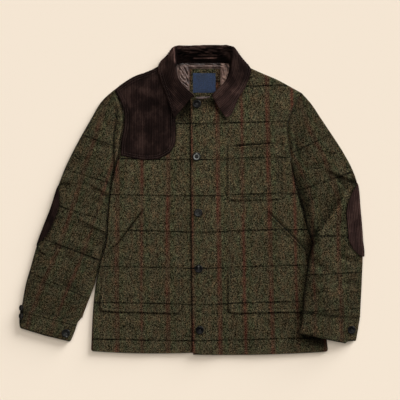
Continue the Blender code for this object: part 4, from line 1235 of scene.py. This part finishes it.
def sleeve_grain(side, spots):
    """Checked cloth of a sleeve: across the red lines, along them."""
    line = along(SLEEVE_GRAIN[side], np.linspace(0, 1, 240))
    gone = lengths(line)
    run = unit(np.gradient(line, axis=0))
    flat = spots[..., :2].reshape(-1, 2)
    nearest = np.zeros(len(flat), int)
    for start in range(0, len(flat), 4000):
        part = flat[start:start + 4000]
        nearest[start:start + 4000] = np.argmin(
            (part[:, None, 0] - line[None, :, 0]) ** 2 + (part[:, None, 1] - line[None, :, 1]) ** 2, axis=1)
    off = flat - line[nearest]
    way = run[nearest]
    across = off[:, 0] * -way[:, 1] + off[:, 1] * way[:, 0]
    down = gone[nearest] + off[:, 0] * way[:, 0] + off[:, 1] * way[:, 1]
    marks = np.array(SLEEVE_DARK[side])
    past = DARK_EVERY * np.arange(1, 4)
    marks = np.concatenate([marks[0] - past[::-1], marks, marks[-1] + past])
    counts = np.arange(len(marks)) * DARK_EVERY
    up = np.interp(down, marks, counts)
    return np.stack([across, -up], axis=-1).reshape(spots.shape[:-1] + (2,))


# Nodes of the materials
def linear(red, green, blue):
    """A colour given as the eye sees it, 0 to 255, as light."""
    shares = (red / 255, green / 255, blue / 255)
    return (*(c / 12.92 if c <= 0.04045 else ((c + 0.055) / 1.055) ** 2.4 for c in shares), 1.0)


class Shade:
    """A value, colour or place in a node tree that can be reckoned with."""

    def __init__(self, tree, socket):
        self.tree, self.socket = tree, socket

    def reckon(self, operation, *values):
        return put(self.tree, "Math", (self, *values), operation=operation)()

    def __add__(self, other):
        return self.reckon("ADD", other)

    def __sub__(self, other):
        return self.reckon("SUBTRACT", other)

    def __mul__(self, other):
        return self.reckon("MULTIPLY", other)

    def part(self, number):
        return put(self.tree, "SeparateXYZ", (self,))(number)

    def scaled(self, x, y, z=1.0):
        return put(self.tree, "VectorMath", (self, (x, y, z)), operation="MULTIPLY")()

    def noise(self, scale=1.0, detail=2.0, rough=0.5):
        inputs = {"Vector": self, "Scale": scale, "Detail": detail, "Roughness": rough}
        return put(self.tree, "TexNoise", inputs)("Fac")

    def stretch(self, low, high, to_low=0.0, to_high=1.0):
        """A soft step from one value to another, between two of this one's."""
        inputs = {"Value": self, "From Min": low, "From Max": high, "To Min": to_low, "To Max": to_high}
        return put(self.tree, "MapRange", inputs, interpolation_type="SMOOTHSTEP")("Result")

    def lines(self, every, half, soft):
        """1 on evenly spaced lines of the check and 0 between them."""
        return self.reckon("PINGPONG", every / 2).stretch(half + soft, half - soft)

    def steps(self, *rows, seen=True):
        """A colour for each value; the rows' colours are as the eye sees them, or plain factors."""
        made = put(self.tree, "ValToRGB", (self,))()
        elements = made.socket.node.color_ramp.elements
        while len(elements) < len(rows):
            elements.new(0.5)
        for element, (place, *colour) in zip(elements, rows):
            element.position = place
            element.color = linear(*colour) if seen else (*colour, 1.0)
        return made

    def blend(self, share, other, how="MIX"):
        return put(self.tree, "Mix", {0: share, 6: self, 7: other}, data_type="RGBA", blend_type=how)(2)

    def times(self, value):
        """This colour made darker or lighter by a value."""
        return self.blend(1.0, put(self.tree, "CombineColor", (value,) * 3)(), "MULTIPLY")

    def tinted(self, share, *tint):
        """This colour with a tint worked into a share of it."""
        return self.blend(share, self.blend(1.0, (*tint, 1.0), "MULTIPLY"))

    def with_painted_shading(self):
        """This colour darkened as painted shade where the painted shading is positive, lightened as painted
        light where it is negative.
        """
        return self.times(painted_shading_in(self.tree).reckon("MULTIPLY_ADD", -0.90, 1.0))


def feed(tree, socket, value):
    if isinstance(value, Shade):
        tree.links.new(value.socket, socket)
    else:
        socket.default_value = value


def put(tree, kind, inputs=(), **settings):
    """A node with its inputs fed in order or by name: gives its outputs, by number or name."""
    node = tree.nodes.new("ShaderNode" + kind)
    for name, value in settings.items():
        setattr(node, name, value)
    for where, value in inputs.items() if isinstance(inputs, dict) else enumerate(inputs):
        feed(tree, node.inputs[where], value)
    return lambda output=0: Shade(tree, node.outputs[output])


# The painted shading that a piece carries as a point attribute
def painted_shading_in(tree):
    return put(tree, "Attribute", attribute_name="painted_shading")("Fac")


def new_group(name, takes, gives):
    """A node group, the sockets that it gives and the values that it takes."""
    group = bpy.data.node_groups.new(name, "ShaderNodeTree")
    for label, start in takes.items():
        kind = "NodeSocketVector" if isinstance(start, tuple) else "NodeSocketFloat"
        group.interface.new_socket(name=label, in_out="INPUT", socket_type=kind).default_value = start
    for label in gives:
        group.interface.new_socket(name=label, in_out="OUTPUT", socket_type="NodeSocketFloat")
    given, made = group.nodes.new("NodeGroupInput"), group.nodes.new("NodeGroupOutput")
    return group, made.inputs, *(Shade(group, given.outputs[label]) for label in takes)


def make_yarn_group():
    """Uneven yarn: a value for each crossing, streaks along the yarns, and their height."""
    group, gives, grain, count = new_group(
        "uneven_yarn", {"Grain": (0, 0, 0), "Yarns per metre": 800.0}, ("Fleck", "Streak", "Height"))
    cells = put(
        group, "TexVoronoi", {"Vector": grain, "Scale": count, "Randomness": 0.75},
        voronoi_dimensions="2D", feature="F1")
    feed(group, gives["Fleck"], put(group, "SeparateColor", (cells("Color"),))())
    warp, weft = (grain.scaled(*many).noise(1.0, 1.0) for many in ((700.0, 60.0), (55.0, 650.0)))
    feed(group, gives["Streak"], warp.reckon("MULTIPLY_ADD", 0.5, weft * 0.5))
    slant = grain.part(0) + grain.part(1) * 0.8
    twill = (slant * (count * 3.6)).reckon("SINE")
    feed(group, gives["Height"], twill.reckon("MULTIPLY_ADD", 0.22, cells("Distance") * -1.2 + 1.0))
    return group


def make_wear_group():
    """Slow changes over a cloth: brushed and pressed patches."""
    group, gives, where, count = new_group(
        "brushed_patches", {"Place": (0, 0, 0), "Patches per metre": 25.0}, ("Patch", "Mottle"))
    feed(group, gives["Patch"], where.noise(count, 3.0, 0.55).stretch(0.3, 0.7))
    feed(group, gives["Mottle"], where.noise(count * 12.0, 2.0, 0.6).stretch(0.3, 0.7))
    return group


YARN = make_yarn_group()
WEAR = make_wear_group()


class Cloth:
    """A material in the making: its shader, the cloth's grain and the object's own places."""

    def __init__(self, name, **principled):
        self.material = bpy.data.materials.new(name)
        self.material.use_nodes = True
        self.tree = self.material.node_tree
        self.shader = self.tree.nodes["Principled BSDF"]
        for socket, value in principled.items():
            self.shader.inputs[socket.replace("_", " ")].default_value = value
        self.grain = put(self.tree, "UVMap", uv_map="grain")("UV")
        self.place = put(self.tree, "TexCoord")("Object")

    def yarn(self, count, grain=None):
        return put(
            self.tree, "Group", {"Grain": grain or self.grain, "Yarns per metre": count}, node_tree=YARN)

    def wear(self, count, place=None):
        return put(
            self.tree, "Group", {"Place": place or self.place, "Patches per metre": count}, node_tree=WEAR)

    def give(self, socket, value):
        feed(self.tree, self.shader.inputs[socket], value)

    def raised(self, height, distance, strength):
        """The finished material, with a fine relief."""
        bump = put(self.tree, "Bump", {"Strength": strength, "Distance": distance, "Height": height})
        self.give("Normal", bump("Normal"))
        return self.material


def make_tweed(name, check, hem_painted_tone, shoulder_painted_tone):
    """Checked tweed; check is how strongly its lines show, the tones are painted light, brighter towards the
    shoulder and darker towards the hem.
    """
    cloth = Cloth(
        name, Roughness=0.95, Sheen_Weight=0.02, Sheen_Roughness=0.55, Specular_IOR_Level=0.02,
        Sheen_Tint=linear(140, 136, 112))
    grain, across, up = cloth.grain, cloth.grain.part(0), cloth.grain.part(1)
    yarn, wear = cloth.yarn(980.0, grain.scaled(1.0, 0.8)), cloth.wear(22.0)
    colour = yarn("Fleck").steps(
        (0.0, 6, 5, 4), (0.25, 18, 16, 11), (0.45, 42, 37, 27), (0.62, 65, 58, 42), (0.85, 91, 82, 60),
        (1.0, 116, 105, 79))
    colour = colour.times(yarn("Streak").stretch(0.32, 0.68, 0.74, 1.26))
    heather = grain.scaled(120.0, 48.0).noise(1.0, 3.0, 0.6)
    colour = colour.blend(1.0, heather.steps(
        (0.32, 0.84, 1.02, 0.98), (0.48, 0.98, 1.0, 1.0), (0.60, 1.10, 0.98, 0.92), (0.72, 1.17, 0.93, 0.94),
        seen=False), "MULTIPLY")
    green = (across - 0.0130).lines(RED_EVERY, 0.0075, 0.0060)
    green = green.reckon("MAXIMUM", (across + 0.0150).lines(RED_EVERY, 0.0050, 0.0045) * 0.60)
    colour = colour.tinted(green * wear("Mottle").stretch(0.0, 1.0, 0.35, 0.90), 0.80, 1.00, 0.90)
    brown = (up - 0.045).lines(DARK_EVERY, 0.016, 0.012)
    colour = colour.tinted(brown * 0.40, 1.12, 1.02, 0.98)
    worn = grain.scaled(13.0, 7.0).noise(1.0, 3.0, 0.6).stretch(0.36, 0.62, 0.25 * check, check)
    dashes = (up + across * 0.9).reckon("PINGPONG", 0.0013).stretch(0.0003, 0.0010, 0.35, 1.0)
    colour = colour.tinted(across.lines(RED_EVERY, 0.0046, 0.0034) * worn, 1.04, 0.66, 0.70)
    red = across.lines(RED_EVERY, 0.0018, 0.0012) * dashes * worn * 0.32
    colour = colour.blend(red, linear(92, 38, 34))
    wide = (across - 0.0058).lines(RED_EVERY * 2, 0.0018, 0.0011) * dashes * (0.50 * check)
    colour = colour.blend(wide, linear(64, 28, 25))
    faint = grain.scaled(16.0, 40.0).noise(1.0, 2.0).stretch(0.38, 0.60, 0.58, 1.0)
    broken = grain.scaled(320.0, 90.0).noise(1.0, 1.0).stretch(0.35, 0.60, 0.62, 1.0)
    dark = up.lines(DARK_EVERY, 0.0019, 0.0011) * (faint * broken) * (0.45 + 0.55 * check)
    colour = colour.blend(dark, linear(9, 8, 6))
    # The tone is painted light: the cloth brighter towards the shoulder and darker towards the hem, with
    # random patches
    tone = cloth.place.part(1).stretch(-0.30, 0.20, hem_painted_tone, shoulder_painted_tone)
    tone = tone * wear("Patch").stretch(0.0, 1.0, 0.92, 1.07)
    cloth.give("Base Color", colour.times(tone).with_painted_shading())
    return cloth.raised(wear("Mottle").reckon("MULTIPLY_ADD", 0.5, yarn("Height")), 0.0004, 0.8)


def make_corduroy(name, lift, valley_shade, even):
    """Dark brown ribs with painted shade in the valleys between them; lift scales the cloth's brightness,
    above 1 as painted light for a lit copy.
    """
    cloth = Cloth(
        name, Roughness=0.9, Sheen_Weight=0.05, Sheen_Roughness=0.45, Specular_IOR_Level=0.03,
        Sheen_Tint=linear(150, 105, 90))
    grain = cloth.grain
    wear = cloth.wear(34.0, grain.scaled(1.0, 0.7))
    rib = grain.part(0).reckon("PINGPONG", WALE / 2)
    pile = grain.scaled(1500.0, 260.0).noise(1.0, 2.0)
    lone = grain.scaled(340.0, 9.0).noise(1.0, 1.0)
    colour = wear("Patch").stretch(0.0, 1.0, 0.5 - even, 0.5 + even).steps(
        (0.0, 21, 14, 12), (0.50, 33, 22.2, 19.4), (0.80, 45, 32, 28), (1.0, 60, 43, 38))
    tone = pile.stretch(0.3, 0.7, 0.75, 1.3) * lone.stretch(0.3, 0.7, 0.79, 1.23)
    tone = tone * rib.stretch(0.0, WALE * 0.24, valley_shade * lift, lift)
    cloth.give("Base Color", colour.times(tone).with_painted_shading())
    return cloth.raised(pile, 0.0003, 0.7)


def make_satin():
    cloth = Cloth(
        "quilted_satin", Roughness=0.42, Sheen_Weight=0.1, Sheen_Roughness=0.4, Specular_IOR_Level=0.35)
    wear, yarn = cloth.wear(60.0), cloth.yarn(1800.0)
    colour = wear("Patch").steps((0.0, 60, 44, 38), (0.5, 94, 73, 65), (1.0, 122, 98, 88))
    cloth.give("Base Color", colour.with_painted_shading())
    cloth.give("Roughness", wear("Mottle").stretch(0.0, 1.0, 0.34, 0.52))
    return cloth.raised(wear("Patch").reckon("MULTIPLY_ADD", 3.0, yarn("Height")), 0.00025, 0.6)


def make_label_cloth():
    cloth = Cloth("navy_weave", Roughness=0.6, Sheen_Weight=0.15, Specular_IOR_Level=0.3)
    yarn = cloth.yarn(1500.0)
    colour = yarn("Streak").steps((0.3, 10, 25, 47), (0.7, 24, 45, 77))
    cloth.give("Base Color", colour.times(cloth.wear(40.0)("Patch").stretch(0.0, 1.0, 0.75, 1.2)))
    return cloth.raised(yarn("Height"), 0.0002, 0.8)


def make_horn():
    horn = Cloth("dark_horn", Roughness=0.30, Specular_IOR_Level=0.12, Coat_Roughness=0.16)
    streaks = horn.place.scaled(60.0, 260.0, 60.0).noise(1.0, 4.0, 0.6)
    # The worn values are painted highlights: they lighten the horn's colour and give it a glossy coat
    worn = painted_shading_in(horn.tree)
    horn.give("Base Color", worn.reckon("MULTIPLY_ADD", -0.62, streaks * 0.38).steps(
        (0.11, 4, 4, 4), (0.21, 9, 8, 8), (0.30, 22, 21, 19), (0.62, 84, 85, 79), (1.0, 160, 158, 150)))
    horn.give("Roughness", horn.place.noise(900.0).stretch(0.3, 0.7, 0.22, 0.38))
    horn.give("Coat Weight", worn.stretch(-1.0, 0.0, 0.9, 0.0))
    return horn.material


def make_slit_shadow():
    """A near-black sheet laid in the pockets' openings as painted shadow."""
    cloth = Cloth("painted_slit_shadow", Roughness=1.0, Specular_IOR_Level=0.0)
    yarn = cloth.yarn(1400.0)
    cloth.give("Base Color", yarn("Streak").steps((0.3, 4, 4, 3), (0.7, 13, 11, 8)))
    return cloth.raised(yarn("Height"), 0.0002, 0.6)


def make_thread(name, dark, light):
    thread = Cloth(name, Roughness=0.75, Sheen_Weight=0.2, Specular_IOR_Level=0.25)
    twist = thread.place.noise(2500.0, 2.0)
    thread.give("Base Color", twist.steps((0.3, *dark), (0.7, *light)))
    return thread.raised(twist, 0.0001, 0.6)


# The sleeves' tweed is a darker copy, painted shade, with fainter check lines
TWEED, SLEEVE_TWEED = make_tweed("body_tweed", 1.0, 0.95, 1.15), make_tweed("sleeve_tweed", 0.68, 0.90, 0.98)
SATIN, LABEL, HORN, SLIT_SHADOW = make_satin(), make_label_cloth(), make_horn(), make_slit_shadow()
# The lit corduroy is a lighter copy of the corduroy, painted light, for the left elbow patch
CORDUROY = make_corduroy("brown_corduroy", 0.95, 0.50, 0.36)
LIT_CORDUROY = make_corduroy("lit_corduroy", 1.75, 0.55, 0.22)
BROWN_THREAD = make_thread("brown_thread", (44, 31, 27), (88, 68, 60))
OLIVE_THREAD = make_thread("olive_thread", (26, 24, 16), (58, 52, 36))
GREY_THREAD = make_thread("grey_thread", (16, 16, 15), (40, 39, 36))


# Making pieces
def piece(name, points, faces, material, grain=None, sharp=40.0, painted_light=None):
    """An object from points and faces, riding on the coat."""
    mesh = bpy.data.meshes.new(name)
    mesh.from_pydata(points.tolist(), [], faces)
    if grain is not None:
        corners = np.zeros(len(mesh.loops), int)
        mesh.loops.foreach_get("vertex_index", corners)
        layer = mesh.uv_layers.new(name="grain")
        layer.data.foreach_set("uv", np.ascontiguousarray(grain[corners], np.float32).ravel())
    if painted_light is not None:
        mesh.attributes.new("painted_shading", "FLOAT", "POINT").data.foreach_set("value", painted_light.astype(np.float32))
    mesh.materials.append(material)
    mesh.shade_smooth()
    mesh.set_sharp_from_angle(angle=math.radians(sharp))
    mesh.validate()
    made = bpy.data.objects.new(name, mesh)
    bpy.context.scene.collection.objects.link(made)
    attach(made, "root")
    return made


def sewn(name, outer, inner, material, slot, grain, painted_light=None):
    """A piece of cloth between its outer and its inner face."""
    rows, columns = outer.shape[:2]
    count = rows * columns
    at = np.arange(count).reshape(rows, columns)
    quads = np.stack([at[:-1, :-1], at[:-1, 1:], at[1:, 1:], at[1:, :-1]], axis=-1).reshape(-1, 4)
    rim = np.concatenate([at[0], at[1:, -1], at[-1, -2::-1], at[-2:0:-1, 0]])
    ahead = np.roll(rim, -1)
    walls = np.stack([ahead, rim, rim + count, ahead + count], axis=-1)
    faces = np.concatenate([quads, quads[:, ::-1] + count, walls])
    points = np.concatenate([outer.reshape(-1, 3), inner.reshape(-1, 3)])
    middle = quads[len(quads) // 2]
    away_from = points[middle].mean(axis=0) - points[middle + count].mean(axis=0)
    face_way = np.cross(points[middle[1]] - points[middle[0]], points[middle[3]] - points[middle[0]])
    if np.dot(away_from, face_way) < 0:
        faces = faces[:, ::-1]
    _, first, back = np.unique(np.round(points, 7), axis=0, return_index=True, return_inverse=True)
    faces = back.reshape(-1)[faces]
    kept = []
    for face in faces.tolist():
        ring = list(dict.fromkeys(face))
        if len(ring) > 2:
            kept.append(ring)
    both = np.concatenate([grain.reshape(-1, 2), grain.reshape(-1, 2)])
    if painted_light is not None:
        painted_light = np.concatenate([painted_light.ravel(), painted_light.ravel()])[first]
    return piece(name, points[first], kept, material, both[first], painted_light=painted_light)


def stitches(name, rows, material, pitch=0.0036, half_long=0.00135, half_wide=0.00040):
    """Rows of single stitches; each row is a line of places and the way out of the cloth there."""
    points, faces = [], []
    for line, out in rows:
        gone = lengths(line)
        count = max(2, int(gone[-1] / pitch))
        at = (np.arange(count) + 0.5) * gone[-1] / count
        run_of = unit(between(at + 0.0006, gone, line) - between(at - 0.0006, gone, line))
        for spot, way, run in zip(between(at, gone, line), between(at, gone, out), run_of):
            aside = np.cross(way, run)
            start = len(points)
            points += [
                spot - run * half_long - way * 0.0003, spot + run * half_long - way * 0.0003,
                spot + aside * half_wide, spot - aside * half_wide, spot + way * 0.00038, spot - way * 0.0004,
            ]
            for a, b in ((0, 2), (2, 1), (1, 3), (3, 0)):
                faces += [(start + a, start + b, start + 4), (start + b, start + a, start + 5)]
    return piece(name, np.array(points), faces, material, sharp=75.0)


def dress(node, ending, faces, material, slot, grain, painted_light=None):
    """A piece of cloth in place of its plain solid."""
    sewn(f"{node}_{ending}", *faces, material, slot, grain, painted_light)
    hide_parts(node)


for side in SIDE:
    outer, inner = front_faces(side)
    dress(
        f"front_{side}", "cloth", (outer, inner), TWEED, "tweed", front_grain(side, outer),
        front_painted_shading(side, *xy(outer)))
    for half in ("upper", "under"):
        outer, inner = sleeve_faces(side, half == "upper")
        painted_light = sleeve_painted_shading(side, *xy(outer)) if half == "upper" else None
        grain = sleeve_grain(side, outer)
        dress(f"sleeve_{side}_{half}", "cloth", (outer, inner), SLEEVE_TWEED, "tweed", grain, painted_light)
    outer, inner = cuff_faces(side)
    dress(
        f"cuff_{side}", "band", (outer, inner), SLEEVE_TWEED, "tweed", sleeve_grain(side, outer) + CUFF_SHIFT,
        cuff_painted_shade(side, outer))
    *faces, grain = elbow_faces(side)
    # The right elbow patch is darkened as painted shade; the left one is the lit copy
    cord, painted_shading = {"right": (CORDUROY, 0.42), "left": (LIT_CORDUROY, 0.0)}[side]
    dress(f"elbow_patch_{side}", "cord", faces, cord, "corduroy", grain, np.full(grain.shape[:2], painted_shading))
outer, inner = back_faces()
dress("back", "cloth", (outer, inner), TWEED, "tweed", front_grain("right", outer))
for name in POCKET:
    outer, inner = pocket_faces(name)
    grain = front_grain(FRONT_OF[name], outer) + POCKET_SHIFT
    dress(name, "cloth", (outer, inner), TWEED, "tweed", grain, pocket_painted_shading(name, *xy(outer)))
*faces, grain = pad_faces()
dress("shoulder_pad", "cord", faces, CORDUROY, "corduroy", grain, pad_painted_shading(*xy(faces[0])))
*faces, grain, painted_light = collar_faces()
dress("collar", "cord", faces, CORDUROY, "corduroy", grain, painted_light)
outer, inner = lining_faces()
dress("neck_lining", "quilt", (outer, inner), SATIN, "satin", outer[..., :2], lining_painted_shading(*xy(outer)))
level = WALL + LIE + LINING_WALL + LIE
outer, inner = flat_faces(LABEL_PATCH, level, LABEL_WALL, 0.0012)
grain = (outer[..., :2] - np.array([0.0640, 0.297])) * 0.92
# Painted shade on the label patch, deepest along its lower edge
painted_light = 0.25 + 0.45 * ease((0.2640 - outer[..., 1]) / 0.008)
dress("label_patch", "cloth", (outer, inner), TWEED, "tweed", grain, painted_light)
level += LABEL_WALL + LIE
outer, inner = flat_faces(NECK_LABEL, level, LABEL_WALL, 0.0010, 0.0004)
dress("neck_label", "weave", (outer, inner), LABEL, "label_cloth", outer[..., :2])
outer, inner = neck_facing_faces()
# Painted shade on the neck facing, deepening towards its upper end
darkened = np.repeat(0.75 * ease((np.arange(len(outer)) - 16) / 14)[:, None], outer.shape[1], axis=1)
neck_facing = sewn("neck_facing", outer, inner, SATIN, "satin", outer[..., :2], darkened)
outer, inner = front_facing_faces()
# The front facing is darkened, in stripes that slant across it
darkened = 0.32 + 0.42 * np.sin(outer[..., 0] * 2 * math.pi / 0.0036 + 260 * outer[..., 1])
front_facing = sewn("front_facing", outer, inner, SATIN, "satin", outer[..., :2], darkened)
for name in POCKET:
    outer, inner = mouth_faces(name)
    sewn(f"{name}_mouth", outer, inner, SLIT_SHADOW, "satin", outer[..., :2])


# Stitching
def inset(loop, distance):
    """A closed outline moved inwards."""
    run = unit(np.roll(loop, -1, axis=0) - np.roll(loop, 1, axis=0))
    area = np.sum(loop[:, 0] * np.roll(loop[:, 1], -1) - np.roll(loop[:, 0], -1) * loop[:, 1])
    way = np.stack([-run[:, 1], run[:, 0]], axis=1) * np.sign(area)
    return loop + way * distance


def laid_row(loop, high):
    """A row of stitches on a flat piece: places and the way up."""
    line = np.c_[loop, high]
    return line, np.broadcast_to(np.array([0.0, 0.0, 1.0]), line.shape)


def pad_row(row):
    """A row of stitches round the shoulder pad."""
    loop = inset(pad_outline(), row)
    loop = np.concatenate([loop, loop[:1]])
    x, y = xy(loop)
    return laid_row(loop, body_height("right", x, y) + LIE + CORD_WALL - 0.0005 - shoulder_fall(x, y))


def collar_row(row):
    """A row of stitches along the collar's edge."""
    line, out = [], []
    for places, ways in list(zip(*collar_form()))[3:-3]:
        gone = lengths(places)
        line.append(between(gone[-1] - row, gone, places))
        out.append(between(gone[-1] - row, gone, ways))
    out = unit(np.array(out))
    return np.array(line) - out * 0.0005, out


def pocket_row(name):
    """The row of stitches round a pocket."""
    face = pocket_faces(name)[0]
    loop = np.concatenate([face[0, ::-1], face[:, 0][1:], face[-1][1:], face[::-1, -1][1:]])[:, :2]
    loop = inset(along(loop[::3], np.linspace(0, 1, 400)[:-1]), POCKET_ROW)
    return laid_row(loop, body_height(FRONT_OF[name], *xy(loop)) + LIE + CORD_WALL - 0.0003)


pad_sewing = stitches("shoulder_pad_stitches", map(pad_row, STITCH_ROWS), BROWN_THREAD)
collar_sewing = stitches("collar_stitches", map(collar_row, STITCH_ROWS), BROWN_THREAD)
pocket_sewing = {
    name: stitches(f"{name}_stitches", [pocket_row(name)], OLIVE_THREAD) for name in POCKET
}


# Buttons
HOLE_OUT, HOLE_RADIUS = 0.0021, 0.00095


def button_mesh():
    """A dished button with a raised rim and four sewing holes: points, faces, round its axis."""
    face = [(r, 0.0013 + 0.0014 * (r / 0.0066) ** 1.6) for r in np.linspace(0.0003, 0.0064, 22)]
    rim = [(0.0066, 0.0027), (0.0071, 0.0029), (0.0076, 0.0031), (0.0081, 0.0033), (0.0087, 0.0034),
           (0.0093, 0.0032), (0.0099, 0.0028), (0.0103, 0.0022), (0.0106, 0.0014), (0.0106, 0.0008),
           (0.0103, 0.0003), (0.0098, 0.0001), (0.0060, 0.0), (0.0003, 0.0)]
    rings = face + rim
    turns = np.linspace(0, 2 * math.pi, 64, endpoint=False)
    points, faces = [], []
    for number, (r, h) in enumerate(rings):
        for a in turns:
            x, y = r * math.cos(a), r * math.sin(a)
            pit = 0.0
            if number < len(face):
                near = math.hypot(abs(x) - HOLE_OUT, abs(y) - HOLE_OUT)
                pit = 0.0009 * float(1 - ease((near - HOLE_RADIUS * 0.7) / (HOLE_RADIUS * 0.6)))
            points.append((x, y, h - pit))
    n = len(turns)
    for ring in range(len(rings) - 1):
        for k in range(n):
            a, b = ring * n + k, ring * n + (k + 1) % n
            faces.append((a + n, b + n, b, a))
    faces.append(tuple(range(n)))
    faces.append(tuple(len(points) - 1 - k for k in range(n)))
    return np.array(points), faces


BUTTON_POINTS, BUTTON_FACES = button_mesh()


def turned_to(face, spin):
    """The turn that lays a button on a slope."""
    up = unit(np.array(face, float))
    first = np.array([math.cos(spin), math.sin(spin), 0.0])
    first = unit(first - up * np.dot(first, up))
    return np.stack([first, np.cross(up, first), up], axis=1)


def thread_bar(start, end, up, radius=0.00050):
    """A short bar of thread, arched over a button's face."""
    points, faces = [], []
    run = unit(end - start)
    aside = np.cross(up, run)
    for t in np.linspace(0, 1, 7):
        middle = start + (end - start) * t + up * 0.0007 * math.sin(math.pi * t)
        for a in np.linspace(0, 2 * math.pi, 8, endpoint=False):
            points.append(middle + (aside * math.cos(a) + up * math.sin(a)) * radius)
    for ring in range(6):
        for k in range(8):
            a, b = ring * 8 + k, ring * 8 + (k + 1) % 8
            faces.append((a, b, b + 8, a + 8))
    faces += [tuple(range(7, -1, -1)), tuple(range(48, 56))]
    return points, faces


cuff_top = SLEEVE_HEIGHT + 2 * CUFF_GROW + LIE
cuff_spot = np.array([0.3990, -0.3250])
cuff_steps = ((0, 0), (0.004, 0), (0, 0.004))
cuff_low = [float(sleeve_lift("left", *(cuff_spot + step), 1.0)) for step in cuff_steps]
cuff_slope = ((cuff_low[0] - cuff_low[1]) / 0.004, (cuff_low[0] - cuff_low[2]) / 0.004, 1.0)
BUTTON_TILT = ((0.02, 0.03), (0.03, 0.10), (-0.02, 0.02), (-0.02, -0.07), (0.02, -0.10))
EDGE_FACE = (-0.70, 0.0, 0.714)
# Painted highlights on the buttons, glossy-coated there: x and y from the middle, half width, inner radius or
# 0, how strong
BUTTON_PAINTED_HIGHLIGHTS = marks({
    "button_1": ((0, 0, 3.4, 0, 0.30), (0, 0, 1.4, 8.8, 0.10)),
    "button_2": ((0, 0, 1.7, 6.2, 0.85), (0.5, 8.5, 1.8, 0, 0.9)),
    "button_3": ((-0.8, 1, 8, 0, 0.30), (0, 0, 1.4, 7, 0.16)),
    "button_4": ((0.2, 5.6, 2.4, 0, 1.0),),
    "button_5": ((0.2, 7.8, 1.4, 0, 0.55), (5, 5.5, 1.1, 0, 0.40)),
    "cuff_button_left": ((4, 6, 1.4, 0, 0.35),),
    "cuff_button_right": ((1, 0, 10, 0, 0.24), (2.4, -8.2, 1.7, 0, 0.6)),
})
# Buttons: node, place, the way its face looks, spin, size
BUTTONS = [
    (f"button_{n}", (x, y, float(body_height("left", np.array(x), np.array(y))) + LIE + 0.0010),
     (*BUTTON_TILT[n - 1], 1.0), 0.35 * n, 1.0)
    for n, (x, y) in enumerate(FRONT_BUTTONS, 1)
]
BUTTONS += [
    ("cuff_button_right", (-0.3142, -0.3334, cuff_top), (0.0, 0.0, 1.0), 0.5, 1.0),
    ("cuff_button_right_edge", (-0.4252, -0.2704, 0.0125), EDGE_FACE, 0.2, 0.75),
    ("cuff_button_right_edge_lower", (-0.4255, -0.2906, 0.0146), EDGE_FACE, 0.7, 0.75),
    ("cuff_button_left", (*cuff_spot, cuff_low[0] - CUFF_GROW + cuff_top + 0.0006), cuff_slope, 0.9, 1.0),
]
thread_points, thread_faces = [], []
for node, place, face, spin, size in BUTTONS:
    turn = turned_to(face, spin) * size
    points = BUTTON_POINTS @ turn.T
    # worn holds the buttons' painted highlights
    worn = np.zeros(len(points))
    for x, y, half, ring, share in BUTTON_PAINTED_HIGHLIGHTS.get(node, ()):
        worn = worn - share * dent(np.hypot(points[:, 0] - x, points[:, 1] - y) - ring, half)
    worn = np.maximum(worn, -1.0)
    button = piece(f"{node}_horn", points + np.array(place), BUTTON_FACES, HORN, sharp=35.0, painted_light=worn)
    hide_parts(node)
    for sign in (-1, 1):
        ends = np.array([(-HOLE_OUT, -HOLE_OUT * sign, 0.0013), (HOLE_OUT, HOLE_OUT * sign, 0.0013)])
        ends = ends @ turn.T + np.array(place)
        bar, bar_faces = thread_bar(ends[0], ends[1], unit(turn[:, 2]))
        thread_faces += [tuple(len(thread_points) + k for k in f) for f in bar_faces]
        thread_points += bar
piece("button_threads", np.array(thread_points), thread_faces, GREY_THREAD, sharp=60.0)


# Floor, light and camera
floor_mesh = bpy.data.meshes.new("floor")
floor_mesh.from_pydata([(-6, -6, 0), (6, -6, 0), (6, 6, 0), (-6, 6, 0)], [], [(0, 1, 2, 3)])
floor = bpy.data.objects.new("floor", floor_mesh)
floor.location.z = -0.0002
bpy.context.scene.collection.objects.link(floor)
pale = bpy.data.materials.new("pale_paper")
pale.use_nodes = True
pale_shader = pale.node_tree.nodes["Principled BSDF"]
pale_shader.inputs["Base Color"].default_value = linear(245, 230, 211)
pale_shader.inputs["Roughness"].default_value = 1.0
pale_shader.inputs["Specular IOR Level"].default_value = 0.0
floor_mesh.materials.append(pale)

world = bpy.data.worlds.new("soft_room")
bpy.context.scene.world = world
world.use_nodes = True
world.node_tree.nodes["Background"].inputs["Color"].default_value = (1.0, 1.0, 1.0, 1.0)
world.node_tree.nodes["Background"].inputs["Strength"].default_value = 0.08


def light_from(name, way, share, spread, colour):
    """A wide soft light from one side that gives this share of the floor's light."""
    way = Vector(way).normalized()
    lamp = bpy.data.lights.new(name, "SUN")
    lamp.angle = math.radians(spread)
    lamp.energy = share * math.pi / way.z
    lamp.color = colour
    stand = bpy.data.objects.new(name, lamp)
    stand.rotation_mode = "QUATERNION"
    stand.rotation_quaternion = way.to_track_quat("Z", "Y")
    bpy.context.scene.collection.objects.link(stand)


light_from("window_side", (0.66, 0.68, 0.32), 0.46, 38, (0.980, 1.005, 1.045))
light_from("ceiling", (-0.04, 0.20, 1.0), 0.46, 56, (1.020, 0.995, 0.955))

CAMERA_HEIGHT = 4.0
VIEW_WIDTH = 1.0
camera = bpy.data.cameras.new("from_above")
camera.sensor_width = 36.0
camera.lens = 36.0 * (CAMERA_HEIGHT - 0.009) / VIEW_WIDTH
camera_stand = bpy.data.objects.new("from_above", camera)
camera_stand.location = (0.0206, -0.0006, CAMERA_HEIGHT)
bpy.context.scene.collection.objects.link(camera_stand)
bpy.context.scene.camera = camera_stand
bpy.context.scene.view_settings.view_transform = "Standard"
bpy.context.scene.view_settings.look = "None"

bpy.context.view_layer.update()
